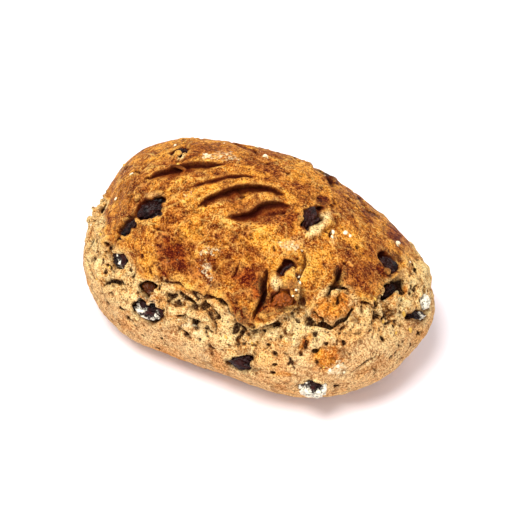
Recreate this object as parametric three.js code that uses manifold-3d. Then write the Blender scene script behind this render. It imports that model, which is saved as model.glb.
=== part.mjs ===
// A free-formed oval raisin loaf: one solid of bread with a crust cap, a torn band under it and slashes
// across its top, and one solid for every raisin that shows, each sunk in a socket of its own.
// Millimetres, +Z up, +X along the loaf. The origin is the middle of the flat base.

import * as THREE from 'three';
import { mergeVertices } from 'three/addons/utils/BufferGeometryUtils.js';
import Module from 'manifold-3d';

const wasm = await Module();
wasm.setup();

// ---- Driving dimensions of the loaf ----
const LENGTH = 207;
const WIDTH = 143;
const WAIST_HEIGHT = 27;        // level of the widest girth above the base
const CROWN_RISE = 70.5;        // from the widest girth up to the middle of the top
const BELLY_REACH = 44.5;       // how deep the lower side would round in without its flat base
const CROWN_LEAN = -0.17;       // share by which the crown falls from its middle to the +X end
const PLAN_FULLNESS = 2.36;     // 2 is an ellipse seen from above, more is squarer
const SIDE_FULLNESS = 2.01;     // the same for the profile

// ---- Crust cap and the torn band under its edge ----
const LEDGE_STEP = 2.6;         // how far the band steps back under the edge of the crust
const LEDGE_LIP = 1.0;          // how far the edge of the crust stands out
const BAND_DROP = 17;           // degrees below the edge over which the band comes out again
const LIP_RISE = 5;             // degrees above the edge over which the lip fades

// ---- Fineness of the faceted solid ----
const STEPS_AROUND = 62;
const CAP_ROWS = 12;            // from the top to the edge of the crust
const BAND_ROWS = 9;            // from that edge to the rim of the base
const BASE_ROWS = 2;            // across the flat base
const RAISIN_STEPS = 10;
const RAISIN_ROWS = 6;

const SOCKET_GAP = 0.35;        // between a raisin and its socket
const DEGREE = Math.PI / 180;

// The middle of the girth lies a little off the middle of the box round the uneven loaf.
const CENTRE = new THREE.Vector3(0.01, -1.33, WAIST_HEIGHT);

// Broad uneven swells of hand-shaped dough: azimuth and elevation in degrees about the centre, height.
const SWELL_SPREAD = 20;
const SWELLS = [
  [170, 10, 1.5], [140, 50, -1.5], [80, 60, 1.5], [60, 50, 1], [40, 42, -2.5], [25, 28, -1],
  [12, 6, 1.5], [-15, 0, -2], [-36, -8, -0.5], [-65, -12, -3], [-95, -12, -2.5], [-125, -5, 1],
  [-162, 27, -5], [171, 30, 3.5], [120, 0, 1.5], [70, -5, -2],
];

// The edge of the crust cap round the loaf: azimuth and elevation in degrees, once round from -180.
const CRUST_EDGE = [
  [-174, 16], [-162, 24], [-151, 27], [-137, 26], [-125, 27], [-117, 25], [-107, 29], [-99, 32],
  [-89, 30], [-73, 31], [-70, 24], [-64, 20], [-56, 25], [-48, 28], [-32, 28], [-26, 30], [-17, 24],
  [-6, 24], [3, 21], [11, 21], [27, 16], [45, 22], [62, 26], [95, 21], [125, 26], [152, 18], [172, 14],
];

// Slashes: the two ends as x, y from the centre seen from above, then width, depth and bow to the ridge.
const SLASHES = [
  { from: [-52, -21], to: [-17, 2], width: 9, depth: 5, bow: 3 },
  { from: [-25, -23], to: [1, 0], width: 5, depth: 3.5, bow: 2.5 },
  { from: [-15, -29], to: [19, -1], width: 9, depth: 5, bow: 4 },
  { from: [3, -30], to: [28, -7], width: 7, depth: 4.5, bow: 2 },
  { from: [-40, 45], to: [-8, 22], width: 6, depth: 4, bow: -3 },
  { from: [-20, 52], to: [10, 31], width: 7, depth: 4, bow: -3 },
  { from: [8, 56], to: [35, 27], width: 9, depth: 6, bow: -2 },
  { from: [38, 48], to: [61, 30], width: 6, depth: 4, bow: -2 },
];
const SLASH_TILT = 28 * DEGREE; // the blade leans, so that the upper wall is undercut

// Torn creases and hollows in the side: azimuth and elevation of the middle, length, width and depth,
// and turn of the long side from level in degrees.
const CREASES = [
  { at: [-57, 30], length: 21, width: 4, depth: 5, turn: 95 },
  { at: [-21, 34], length: 16, width: 5, depth: 5, turn: 75 },
  { at: [-1, 21], length: 16, width: 8, depth: 6, turn: -40 },
  { at: [-127, 15], length: 12, width: 4, depth: 5, turn: 5 },
  { at: [-91, 21], length: 17, width: 4, depth: 4, turn: -25 },
];

// Raisins: azimuth and elevation of the place, length, width, thickness, turn of the long side from
// level in degrees, and how far the raisin stands out of the bread.
const RAISINS = {
  raisin_crown: { at: [174.5, 53.5], size: [11, 7, 6], turn: 6, proud: 0.8 },
  raisin_left_shoulder: { at: [-137, 46.5], size: [17, 11, 8], turn: 56, proud: 1.2 },
  raisin_left_groove: { at: [-137, 34.2], size: [15, 6, 6], turn: 79, proud: 0.6 },
  raisin_right_shoulder: { at: [-10, 57], size: [17, 9, 9], turn: 12, proud: 2.5 },
  raisin_left_band: { at: [-132.3, 23.5], size: [15, 9, 7], turn: 20, proud: 0.8 },
  raisin_left_under: { at: [-114, 21], size: [9, 7, 6], turn: -4, proud: 0.6 },
  raisin_left_low: { at: [-110.8, 12.3], size: [19, 10, 8], turn: 10, proud: 1.2 },
  raisin_front_low: { at: [-65, 3], size: [17, 9, 8], turn: 6, proud: 1 },
  raisin_base_edge: { at: [-40, -2], size: [15, 12, 11], turn: 22, proud: 5 },
  raisin_burst_upper: { at: [-43, 40.8], size: [12, 5, 5], turn: 57, proud: 0.8 },
  raisin_burst_lower: { at: [-47.3, 31.8], size: [13, 11, 8], turn: 6, proud: 2 },
  raisin_right_blister: { at: [4, 25.3], size: [13, 10.5, 8], turn: -89, proud: 1.5 },
  raisin_right_hollow: { at: [-2.5, 19.8], size: [12, 7, 7], turn: -10, proud: 0.6 },
  raisin_right_end: { at: [1.2, 8], size: [16, 5, 6], turn: -38, proud: 0.8 },
  raisin_right_floured: { at: [7.5, 8.5], size: [9, 7, 7], turn: 27, proud: 2 },
  raisin_back_high: { at: [98, 36], size: [13, 9, 8], turn: 20, proud: 1.2 },
  raisin_back_left: { at: [146, 14], size: [14, 9, 8], turn: -30, proud: 1 },
  raisin_back_low: { at: [103, 6], size: [12, 8, 8], turn: 15, proud: 1.5 },
  raisin_back_right: { at: [55, 16], size: [15, 9, 8], turn: 35, proud: 1 },
  raisin_left_end: { at: [-172, 8], size: [12, 9, 8], turn: 70, proud: 1.2 },
};
const FOLD_DEPTH = 0.11;        // depth of a raisin's folds, as a share of its radius

const COLOURS = { loaf: 0xbe7636, raisin: 0x241a1c };

// ---- The shape of the loaf ----
function direction(azimuth, elevation) {
  const level = Math.cos(elevation * DEGREE);
  return new THREE.Vector3(
    level * Math.cos(azimuth * DEGREE),
    level * Math.sin(azimuth * DEGREE),
    Math.sin(elevation * DEGREE),
  );
}

// Distance from the centre to the smooth loaf along a unit vector.
function smoothRadius(way) {
  const x = way.x / (LENGTH / 2);
  const y = way.y / (WIDTH / 2);
  const alongShare = x / Math.hypot(x, y, way.z / CROWN_RISE);
  const reach = way.z > 0 ? CROWN_RISE * (1 + CROWN_LEAN * alongShare) : BELLY_REACH;
  const plan = (Math.abs(x) ** PLAN_FULLNESS + Math.abs(y) ** PLAN_FULLNESS) ** (1 / PLAN_FULLNESS);
  const rise = Math.abs(way.z) / reach;
  return (plan ** SIDE_FULLNESS + rise ** SIDE_FULLNESS) ** (-1 / SIDE_FULLNESS);
}

const swellPlaces = SWELLS.map(([azimuth, elevation, height]) => {
  const way = direction(azimuth, elevation);
  return { place: way.clone().multiplyScalar(smoothRadius(way)), height };
});

function swellHeight(point) {
  let height = 0;
  for (const swell of swellPlaces) {
    const apart = point.distanceTo(swell.place) / SWELL_SPREAD;
    height += swell.height * Math.exp(-0.5 * apart * apart);
  }
  return height;
}

// Elevation of the crust's edge at an azimuth, by a smooth step between the points of its outline.
function crustEdge(azimuth) {
  const count = CRUST_EDGE.length;
  for (let index = 0; index < count; index += 1) {
    const [fromAzimuth, fromLevel] = CRUST_EDGE[index];
    const [nextAzimuth, toLevel] = CRUST_EDGE[(index + 1) % count];
    const span = (nextAzimuth - fromAzimuth + 360) % 360;
    const along = ((azimuth - fromAzimuth + 720) % 360) / span;
    if (along <= 1) {
      return fromLevel + (toLevel - fromLevel) * THREE.MathUtils.smoothstep(along, 0, 1);
    }
  }
  return CRUST_EDGE[0][1];
}

// How far the lip stands out, or the band steps back, at so many degrees above the crust's edge.
function ledgeOffset(above) {
  if (above >= 0) {
    return LEDGE_LIP * (1 - THREE.MathUtils.smoothstep(above, 0, LIP_RISE));
  }
  return -LEDGE_STEP * (1 - THREE.MathUtils.smoothstep(-above, 0, BAND_DROP));
}

function loafPoint(azimuth, elevation) {
  const way = direction(azimuth, elevation);
  const smooth = smoothRadius(way);
  const swell = swellHeight(way.clone().multiplyScalar(smooth));
  const ledge = ledgeOffset(elevation - crustEdge(azimuth));
  return way.multiplyScalar(smooth + swell + ledge).add(CENTRE);
}

// Outward normal of the smooth loaf, from three close points of it.
function loafNormal(azimuth, elevation) {
  const step = 1;
  const here = loafPoint(azimuth, elevation);
  const beside = loafPoint(azimuth + step, elevation).sub(here);
  const above = loafPoint(azimuth, elevation + step).sub(here);
  return beside.cross(above).normalize();
}

// Elevation at which the lower side meets the base plane.
function rimElevation(azimuth) {
  let low = -80;
  let high = 0;
  for (let pass = 0; pass < 40; pass += 1) {
    const middle = (low + high) / 2;
    if (loafPoint(azimuth, middle).z > 0) {
      high = middle;
    } else {
      low = middle;
    }
  }
  return high;
}

// Rows run from the top to the crust's edge, on under its lip to the rim, and across the flat base.
function rowPoint(row, azimuth) {
  const edge = crustEdge(azimuth);
  if (row <= CAP_ROWS) {
    return loafPoint(azimuth, 90 - (90 - edge) * (row / CAP_ROWS));
  }
  const rim = rimElevation(azimuth);
  const underLip = edge - 1;
  const bandRow = row - CAP_ROWS - 1;
  if (bandRow < BAND_ROWS) {
    const point = loafPoint(azimuth, underLip + (rim - underLip) * (bandRow / (BAND_ROWS - 1)));
    point.z = Math.max(point.z, 0);
    return point;
  }
  const rimPoint = loafPoint(azimuth, rim);
  const inward = (bandRow - BAND_ROWS + 1) / BASE_ROWS;
  return new THREE.Vector3(rimPoint.x * (1 - inward), rimPoint.y * (1 - inward), 0);
}

function loafBlank() {
  const rows = CAP_ROWS + BAND_ROWS + BASE_ROWS;
  const geometry = new THREE.SphereGeometry(1, STEPS_AROUND, rows);
  const places = geometry.attributes.position;
  const spread = geometry.attributes.uv;
  for (let index = 0; index < places.count; index += 1) {
    const row = Math.round(rows * (1 - spread.getY(index)));
    const turn = Math.round(spread.getX(index) * STEPS_AROUND) % STEPS_AROUND;
    const azimuth = row === 0 || row === rows ? 0 : (360 * turn) / STEPS_AROUND;
    places.setXYZ(index, ...rowPoint(row, azimuth).toArray());
  }
  return geometry;
}

// ---- Raisins ----
// A wrinkled bean: lengthways folds over a squarish oval, different for each seed.
function raisinGeometry(size, seed, grow) {
  const geometry = new THREE.SphereGeometry(1, RAISIN_STEPS, RAISIN_ROWS);
  const places = geometry.attributes.position;
  const half = size.map((side) => side / 2 + grow);
  const point = new THREE.Vector3();
  for (let index = 0; index < places.count; index += 1) {
    point.fromBufferAttribute(places, index);
    const folds = Math.sin(4 * point.y + 3 * point.x + seed) * Math.cos(5 * point.z - 2 * point.y + 2 * seed);
    const dents = Math.sin(7 * point.x + 5 * seed) * Math.sin(6 * point.y - 3 * point.z + seed);
    point.multiplyScalar(1 - FOLD_DEPTH * (0.5 + 0.5 * folds) - 0.5 * FOLD_DEPTH * dents);
    places.setXYZ(index, point.x * half[0], point.y * half[1], point.z * half[2]);
  }
  return geometry;
}

// Frame on the loaf: X level along the side, Z out of the bread, turned about Z.
function seat(azimuth, elevation, turn, lift) {
  const outward = loafNormal(azimuth, elevation);
  const level = new THREE.Vector3(0, 0, 1).cross(outward).normalize();
  const upward = outward.clone().cross(level);
  const frame = new THREE.Matrix4().makeBasis(level, upward, outward);
  frame.multiply(new THREE.Matrix4().makeRotationZ(turn * DEGREE));
  frame.setPosition(loafPoint(azimuth, elevation).addScaledVector(outward, lift));
  return frame;
}

// ---- Slashes ----
// Azimuth and elevation of the point of the top above x, y.
function overhead(x, y) {
  const azimuth = Math.atan2(y, x) / DEGREE;
  let low = 0;
  let high = 90;
  for (let pass = 0; pass < 40; pass += 1) {
    const middle = (low + high) / 2;
    const point = loafPoint(azimuth, middle).sub(CENTRE);
    if (Math.hypot(point.x, point.y) > Math.hypot(x, y)) {
      low = middle;
    } else {
      high = middle;
    }
  }
  return [azimuth, low];
}

// A boat-shaped hollow with tapered ends, bowed along its length and leaning.
function boat(length, width, depth, bow, lean) {
  const geometry = new THREE.SphereGeometry(1, 12, 8);
  const places = geometry.attributes.position;
  for (let index = 0; index < places.count; index += 1) {
    const x = places.getX(index);
    const z = places.getZ(index) * depth;
    const y = places.getY(index) * (width / 2) + bow * (1 - x * x) - z * lean;
    places.setXYZ(index, x * (length / 2), y, z);
  }
  return geometry;
}

function creaseCutter({ at, length, width, depth, turn }) {
  return boat(length, width, depth, 0, 0).applyMatrix4(seat(...at, turn, 0));
}

// The bread that a slash opens.
function slashCutter({ from, to, width, depth, bow }) {
  const middle = [(from[0] + to[0]) / 2, (from[1] + to[1]) / 2];
  const span = Math.hypot(to[0] - from[0], to[1] - from[1]);
  const place = overhead(...middle);
  const outward = loafNormal(...place);
  const along = new THREE.Vector3(...to, loafPoint(...overhead(...to)).z)
    .sub(new THREE.Vector3(...from, loafPoint(...overhead(...from)).z));
  along.addScaledVector(outward, -along.dot(outward)).normalize();
  const across = outward.clone().cross(along);
  const geometry = boat(span, width, depth, bow, Math.tan(SLASH_TILT) * Math.sign(bow));
  const frame = new THREE.Matrix4().makeBasis(along, across, outward);
  frame.setPosition(loafPoint(...place));
  return geometry.applyMatrix4(frame);
}

// ---- Joining and cutting ----
function toSolid(geometry) {
  const bare = geometry.clone();
  bare.deleteAttribute('normal');
  bare.deleteAttribute('uv');
  const merged = mergeVertices(bare, 1e-4);
  return new wasm.Manifold(new wasm.Mesh({
    numProp: 3,
    vertProperties: new Float32Array(merged.attributes.position.array),
    triVerts: withoutSlivers(merged.index.array),
  }));
}

// Triangles whose corners have been merged into one, as at the poles, are left out.
function withoutSlivers(corners) {
  const kept = [];
  for (let index = 0; index < corners.length; index += 3) {
    const [a, b, c] = corners.slice(index, index + 3);
    if (a !== b && b !== c && c !== a) {
      kept.push(a, b, c);
    }
  }
  return new Uint32Array(kept);
}

function toGeometry(solid) {
  const mesh = solid.getMesh();
  const geometry = new THREE.BufferGeometry();
  geometry.setAttribute('position', new THREE.BufferAttribute(mesh.vertProperties, 3));
  geometry.setIndex(new THREE.BufferAttribute(mesh.triVerts, 1));
  geometry.computeVertexNormals();
  return geometry;
}

function raisinSolid([name, raisin], index, grow) {
  const geometry = raisinGeometry(raisin.size, index, grow);
  const lift = raisin.proud - raisin.size[2] / 2;
  return { name, solid: toSolid(geometry.applyMatrix4(seat(...raisin.at, raisin.turn, lift))) };
}

function loafGeometry() {
  let solid = toSolid(loafBlank());
  for (const cutter of [...SLASHES.map(slashCutter), ...CREASES.map(creaseCutter)]) {
    solid = solid.subtract(toSolid(cutter));
  }
  Object.entries(RAISINS).forEach((entry, index) => {
    solid = solid.subtract(raisinSolid(entry, index, SOCKET_GAP).solid);
  });
  return toGeometry(solid);
}

function namedMesh(name, geometry, colour, roughness) {
  const material = new THREE.MeshStandardMaterial({ color: colour, roughness, metalness: 0 });
  const mesh = new THREE.Mesh(geometry, material);
  mesh.name = name;
  return mesh;
}

// ---- The object ----
const bread = new THREE.Group();
bread.add(namedMesh('loaf', loafGeometry(), COLOURS.loaf, 0.75));
Object.entries(RAISINS).forEach((entry, index) => {
  const { name, solid } = raisinSolid(entry, index, 0);
  bread.add(namedMesh(name, toGeometry(solid), COLOURS.raisin, 0.4));
});

export default bread;
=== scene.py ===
"""A hand-shaped raisin loaf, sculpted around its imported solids.

The bread is sculpted as a block of dough on a regular grid: every grid point holds its distance to the
surface, which is negative inside. The smooth loaf comes first, then the crust cap over the torn crumb,
mounds, slashes, lumps, tears, holes and pores, and last the sockets of the raisins. The surface is drawn
out as one closed mesh. Sculpting is in millimetres, and make_mesh() turns it into metres.

Places named seen are x, y pixels of the 520 by 520 photograph, carried onto the loaf along the camera's
ray. Other places are azimuth and elevation in degrees about the loaf's centre.
"""

import math

import bmesh
import bpy
import numpy as np
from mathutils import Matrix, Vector


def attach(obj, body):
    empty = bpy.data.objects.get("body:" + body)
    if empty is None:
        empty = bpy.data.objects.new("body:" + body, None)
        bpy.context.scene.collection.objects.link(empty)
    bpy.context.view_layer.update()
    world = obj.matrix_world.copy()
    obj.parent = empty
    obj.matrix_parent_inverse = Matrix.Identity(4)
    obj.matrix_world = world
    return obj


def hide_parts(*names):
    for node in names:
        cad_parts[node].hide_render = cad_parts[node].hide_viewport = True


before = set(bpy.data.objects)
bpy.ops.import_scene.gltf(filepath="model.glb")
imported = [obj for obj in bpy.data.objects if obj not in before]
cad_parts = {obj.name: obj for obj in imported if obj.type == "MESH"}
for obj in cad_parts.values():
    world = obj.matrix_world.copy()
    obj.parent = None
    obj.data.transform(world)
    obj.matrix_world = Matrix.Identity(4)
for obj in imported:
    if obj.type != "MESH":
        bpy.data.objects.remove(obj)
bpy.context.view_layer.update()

MM = 0.001
DEGREE = math.pi / 180

# ---- The loaf, in millimetres ----
HALF_LENGTH = 103.5
HALF_WIDTH = 71.5
CROWN_RISE = 70.5
BELLY_REACH = 44.5
CROWN_LEAN = -0.17
PLAN_FULLNESS = 2.36
SIDE_FULLNESS = 2.01
CENTRE = np.array([0.01, -1.33, 27.0])
SWELL_SPREAD = 20
# Broad swells of the loaf: azimuth, elevation and height in mm.
SWELLS = [
    (170, 10, 1.5), (140, 50, -1.5), (80, 60, 1.5), (60, 50, 1), (40, 42, -2.5), (25, 28, -1),
    (12, 6, 1.5), (-15, 0, -2), (-36, -8, -0.5), (-65, -12, -3), (-95, -12, -2.5), (-125, -5, 1),
    (-162, 27, -5), (171, 30, 3.5), (120, 0, 1.5), (70, -5, -2),
]

# ---- The camera of the photograph ----
PHOTO_SIDE = 520
SIGHT_STEP = 0.25
SIGHT_BEFORE = 130
SIGHT_BEHIND = 110
LENS = 70
SENSOR = 36
VIEW_AZIMUTH = 29.6
VIEW_ELEVATION = 40
VIEW_DISTANCE = 570
VIEW_TARGET = np.array([4.8, -1.3, 41.1])

# ---- The grid of the sculpture ----
VOXEL = 0.7
GRID_LOW = np.array([-109.0, -77.0, -3.0])
GRID_HIGH = np.array([109.0, 78.0, 105.0])
# Broad fields are worked out at every so many grid points.
COARSE = 4
MOST_TRIANGLES = 196000

# ---- Random bumps: seed, and size in mm along x, y and z ----
BROAD = (1, (22, 22, 22))
MIDDLE = (2, (9, 9, 9))
SMALL = (3, (4.2, 4.2, 4.2))
FINE = (4, (2.2, 2.2, 2.2))
STRANDS = (5, (3.2, 3.2, 11))
TEARS = (6, (9, 9, 2.6))
WRINKLES = (7, (6, 6, 5))
WIDE_WARP = (11, (8, 8, 8))
CLOSE_WARP = (21, (3, 3, 3))
# How far the two warps push the shapes that the tools cut, in mm.
WIDE_PUSH = 0.7
CLOSE_PUSH = 0.25
# Loose points read their bumps from a table of this side, shifted clear of its zero.
BUMP_TABLE = 32
BUMP_SHIFT = 1000.5
# Bumps behind the colour marks: size in mm, then seed.
MARK_BROAD = (17, 61)
MARK_MIDDLE = (6, 62)
MARK_SMALL = (2.4, 63)
GOLD_BUMPS = (12, 64)
FLOUR_BUMPS = (11, 65)

# ---- Seeds of what is scattered ----
HIDDEN_SEED = 41
PORE_SEED = 42
CRUMB_SEED = 43
FLAKE_SEED = 51
GRAIN_SEED = 52
PEBBLE_SEED = 77
RAISIN_SEED = 100
RAISIN_SEED_STEP = 10

# ---- The edge of the crust cap: seen, then by azimuth and elevation on the far side ----
EDGE_SEEN = [
    (107, 203), (103, 216), (104, 232), (112, 246), (130, 262), (141, 276), (161, 281), (178, 281),
    (184, 293), (195, 292), (210, 297), (225, 300), (229, 317), (240, 328), (252, 327), (263, 318),
    (281, 309), (305, 306), (322, 302), (334, 290), (350, 290), (364, 300), (376, 293), (385, 284),
    (402, 276), (408, 262), (414, 246),
]
EDGE_HIDDEN = [(35, 22), (62, 26), (95, 21), (125, 26), (152, 18), (172, 14), (186, 16)]
# Azimuth, then how deep the torn crumb lies under the crust's edge and how soft the change of colour is.
LEDGE_STEPS = [
    (-175, 0.6), (-155, 0.2), (-130, 0.2), (-114, 0.8), (-100, 1.8), (-90, 2.4), (-80, 3.4), (-70, 3.6),
    (-62, 4.6), (-50, 4.4), (-43, 2.4), (-36, 0.8), (-26, 1.0), (-20, 2.4), (-8, 2.0), (4, 0.4), (18, 0.3),
    (45, 1.6), (80, 2.6), (110, 1.4), (140, 2.4), (165, 0.8),
]
EDGE_SOFTNESS = [
    (-175, 3), (-155, 4), (-140, 5), (-120, 4), (-105, 1.6), (-80, 1.2), (-45, 1.4), (-32, 4), (-22, 2),
    (-10, 2), (2, 6), (18, 7), (45, 2), (100, 2), (125, 4), (150, 2),
]
LEDGE_LIP = 0.45
LIP_RISE = 6
BAND_HEIGHT = 34
UNDERCUT = 0.9
EDGE_RAGGED = 1.6
# A ledge deeper than this, in mm, raises the crust's lip no further.
LIP_MOST = 3
UNDERSIDE_BLEND = 0.7
CRUST_BLEND = 0.5
WRINKLE_SHARPNESS = 0.12
BASE_ROUNDING = 1.2

# ---- The slashes ----
# Both ends seen, then width, depth, bow towards the ridge, and share by which the second end is wider.
SLASHES_SEEN = [
    ((150, 180), (226, 164), 11.0, 4.2, 0.6, -0.4),
    ((190, 189), (256, 176.5), 5.2, 2.0, 1.6, 0.0),
    ((199, 205.5), (284, 193), 10.0, 3.8, 1.8, 0.1),
    ((226, 219), (291, 209), 12.5, 4.0, -2.4, 0.35),
]
# Slashes of the far side: the two ends by azimuth and elevation, then as above.
SLASHES_FAR = [
    ((133, 43), (110, 71), 6.0, 2.4, 2.4, 0.0),
    ((112, 42), (72, 63), 8.0, 3.0, 2.0, 0.2),
    ((82, 40), (38, 52), 11.0, 4.2, 1.2, -0.2),
    ((50, 32), (29, 35), 6.0, 2.6, 1.0, 0.1),
]
SLASH_UNDERCUT = -0.2
SLASH_ROUGH = 0.3
# How softly slashes, holes, tears and beads run into the surface, in mm.
SLASH_BLEND = 0.25
HOLE_BLEND = 0.4
CREASE_BLEND = 0.4
RIDGE_BLEND = 0.8


# ======================================================================== the smooth loaf

def direction(azimuth, elevation):
    """Unit vectors for azimuths and elevations in degrees."""
    level = np.cos(np.asarray(elevation) * DEGREE)
    turned = np.asarray(azimuth) * DEGREE
    return np.stack([level * np.cos(turned), level * np.sin(turned), np.sin(elevation * DEGREE)], -1)


def smooth_radius(way):
    """Distance from the centre to the loaf without its swells, along unit vectors."""
    x = way[..., 0] / HALF_LENGTH
    y = way[..., 1] / HALF_WIDTH
    z = way[..., 2]
    share = x / np.sqrt(x * x + y * y + (z / CROWN_RISE) ** 2 + 1e-12)
    reach = np.where(z > 0, CROWN_RISE * (1 + CROWN_LEAN * share), BELLY_REACH)
    plan = (np.abs(x) ** PLAN_FULLNESS + np.abs(y) ** PLAN_FULLNESS) ** (1 / PLAN_FULLNESS)
    return (plan ** SIDE_FULLNESS + np.abs(z / reach) ** SIDE_FULLNESS) ** (-1 / SIDE_FULLNESS)


def loaf_radius(way):
    """Distance from the centre to the loaf with its broad swells, along unit vectors."""
    radius = smooth_radius(way)
    place = way * radius[..., None]
    swell = np.zeros_like(radius)
    for azimuth, elevation, height in SWELLS:
        middle = direction(azimuth, elevation)
        middle = middle * smooth_radius(middle)
        apart = ((place - middle) ** 2).sum(-1) / SWELL_SPREAD ** 2
        swell += height * np.exp(-0.5 * apart)
    return radius + swell


def above_loaf(points):
    """How far points lie outside the smooth loaf, along the line from its centre."""
    offset = points - CENTRE
    length = np.linalg.norm(offset, axis=-1) + 1e-9
    return length - loaf_radius(offset / length[..., None])


def outward_at(point):
    """Unit normal of the smooth loaf at a point of it."""
    step = 0.5
    nearby = np.concatenate([point + step * np.eye(3), point - step * np.eye(3)])
    rise = above_loaf(nearby)
    slope = rise[:3] - rise[3:]
    return slope / np.linalg.norm(slope)


class Place:
    """A point of the bread, its height over the smooth loaf, and the directions of the surface there."""

    def __init__(self, point, level, height):
        self.point = point
        self.height = height
        self.out = outward_at(point)
        right = level - self.out * level.dot(self.out)
        self.right = right / np.linalg.norm(right)
        self.up = np.cross(self.out, self.right)

    def turned(self, turn):
        """The surface's long and short directions at so many degrees from level."""
        c, s = math.cos(turn * DEGREE), math.sin(turn * DEGREE)
        return self.right * c + self.up * s, self.up * c - self.right * s


def camera_axes():
    """The camera's place and its back, right and up directions."""
    azimuth, elevation = VIEW_AZIMUTH * DEGREE, VIEW_ELEVATION * DEGREE
    back = np.array([
        math.sin(azimuth) * math.cos(elevation),
        -math.cos(azimuth) * math.cos(elevation),
        math.sin(elevation),
    ])
    right = np.array([math.cos(azimuth), math.sin(azimuth), 0.0])
    return VIEW_TARGET + back * VIEW_DISTANCE, back, right, np.cross(back, right)


def sight_line(x, y):
    """Points along the camera's ray through a pixel of the photograph, and level to the right of it."""
    eye, back, right, up = camera_axes()
    focus = LENS / SENSOR * PHOTO_SIDE
    ray = -back + right * (x - PHOTO_SIDE / 2) / focus - up * (y - PHOTO_SIDE / 2) / focus
    ray /= np.linalg.norm(ray)
    distances = np.arange(VIEW_DISTANCE - SIGHT_BEFORE, VIEW_DISTANCE + SIGHT_BEHIND, SIGHT_STEP)
    return eye + ray * distances[:, None], right


def photo_pixels(points):
    """Pixels of the photograph where points lie, and how squarely the smooth loaf faces it there."""
    eye, back, right, up = camera_axes()
    focus = LENS / SENSOR * PHOTO_SIDE
    offset = points - eye
    depth = -offset @ back
    x = PHOTO_SIDE / 2 + focus * (offset @ right) / depth
    y = PHOTO_SIDE / 2 - focus * (offset @ up) / depth
    step = 1.0
    rise = above_loaf(points)
    slope = np.stack([above_loaf(points + step * axis) - rise for axis in np.eye(3)], 1)
    slope /= np.linalg.norm(slope, axis=1)[:, None]
    return x, y, slope @ back


# ======================================================================== random bumps

def spline_stretch(field, axis, count, step):
    """Spreads a coarse random field smoothly over `count` grid points along one axis."""
    position = np.arange(count, dtype=np.float32) * step
    index = position.astype(int)
    t = position - index
    weights = [
        (1 - t) ** 3 / 6,
        (3 * t ** 3 - 6 * t ** 2 + 4) / 6,
        (-3 * t ** 3 + 3 * t ** 2 + 3 * t + 1) / 6,
        t ** 3 / 6,
    ]
    shape = [1, 1, 1]
    shape[axis] = count
    total = 0
    for offset, weight in enumerate(weights):
        weight = weight.astype(np.float32).reshape(shape)
        total = total + np.take(field, index + offset, axis=axis) * weight
    return total


def grid_bumps(shape, kind, turn=0):
    """Smooth random values over the grid, of spread about 1: one of the kinds above, varied by `turn`."""
    seed, cells = kind
    rng = np.random.default_rng(seed + turn)
    steps = [VOXEL / cell for cell in cells]
    counts = [int(n * step) + 5 for n, step in zip(shape, steps)]
    field = rng.normal(size=counts).astype(np.float32)
    for axis in range(3):
        field = spline_stretch(field, axis, shape[axis], steps[axis])
    return field / field.std()


def corner_weights(share):
    """The eight corners of a cell, with the weight of each at points so far across their own cell."""
    for dx, dy, dz in np.ndindex(2, 2, 2):
        weight = np.abs(1 - dx - share[:, 0]) * np.abs(1 - dy - share[:, 1])
        yield (dx, dy, dz), weight * np.abs(1 - dz - share[:, 2])


def bumps(points, cell, seed):
    """Smooth random values of -1 to 1 at loose points, with bumps of the given size."""
    table = np.random.default_rng(seed).uniform(-1, 1, [BUMP_TABLE] * 3)
    place = points / cell + BUMP_SHIFT
    index = np.floor(place).astype(int)
    share = place - index
    total = np.zeros(len(points))
    for corner, weight in corner_weights(share * share * (3 - 2 * share)):
        x, y, z = ((index + corner) % BUMP_TABLE).T
        total += weight * table[x, y, z]
    return total


def smooth_step(value, low, high):
    """A share that climbs from 0 at `low` to 1 at `high`, which may be the lower of the two."""
    t = np.clip((value - low) / (high - low), 0, 1)
    return t * t * (3 - 2 * t)


def soft_min(a, b, blend):
    """The lower of two distances, with the seam between them rounded over `blend`."""
    share = np.clip(0.5 + 0.5 * (b - a) / blend, 0, 1)
    return b + (a - b) * share - blend * share * (1 - share)


def soft_max(a, b, blend):
    """The higher of two distances, with the seam between them rounded over `blend`."""
    return -soft_min(-a, -b, blend)


# ======================================================================== the edge of the crust

def edge_outline():
    """Azimuths and elevations of the crust's edge, once round the loaf."""
    outline = []
    for pixel in EDGE_SEEN:
        points, _ = sight_line(*pixel)
        gap = above_loaf(points)
        index = np.argmax(gap < 0) if (gap < 0).any() else np.argmin(gap)
        x, y, z = points[index] - CENTRE
        outline.append((math.atan2(y, x) / DEGREE, math.atan2(z, math.hypot(x, y)) / DEGREE))
    outline = sorted(outline + EDGE_HIDDEN)
    return np.array(outline)


def round_values(azimuth, table):
    """Values of a table of (azimuth, value), read at azimuths all round the loaf."""
    table = np.asarray(table, float)
    return np.interp(azimuth, table[:, 0], table[:, 1], period=360)


# ======================================================================== the block of dough

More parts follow.
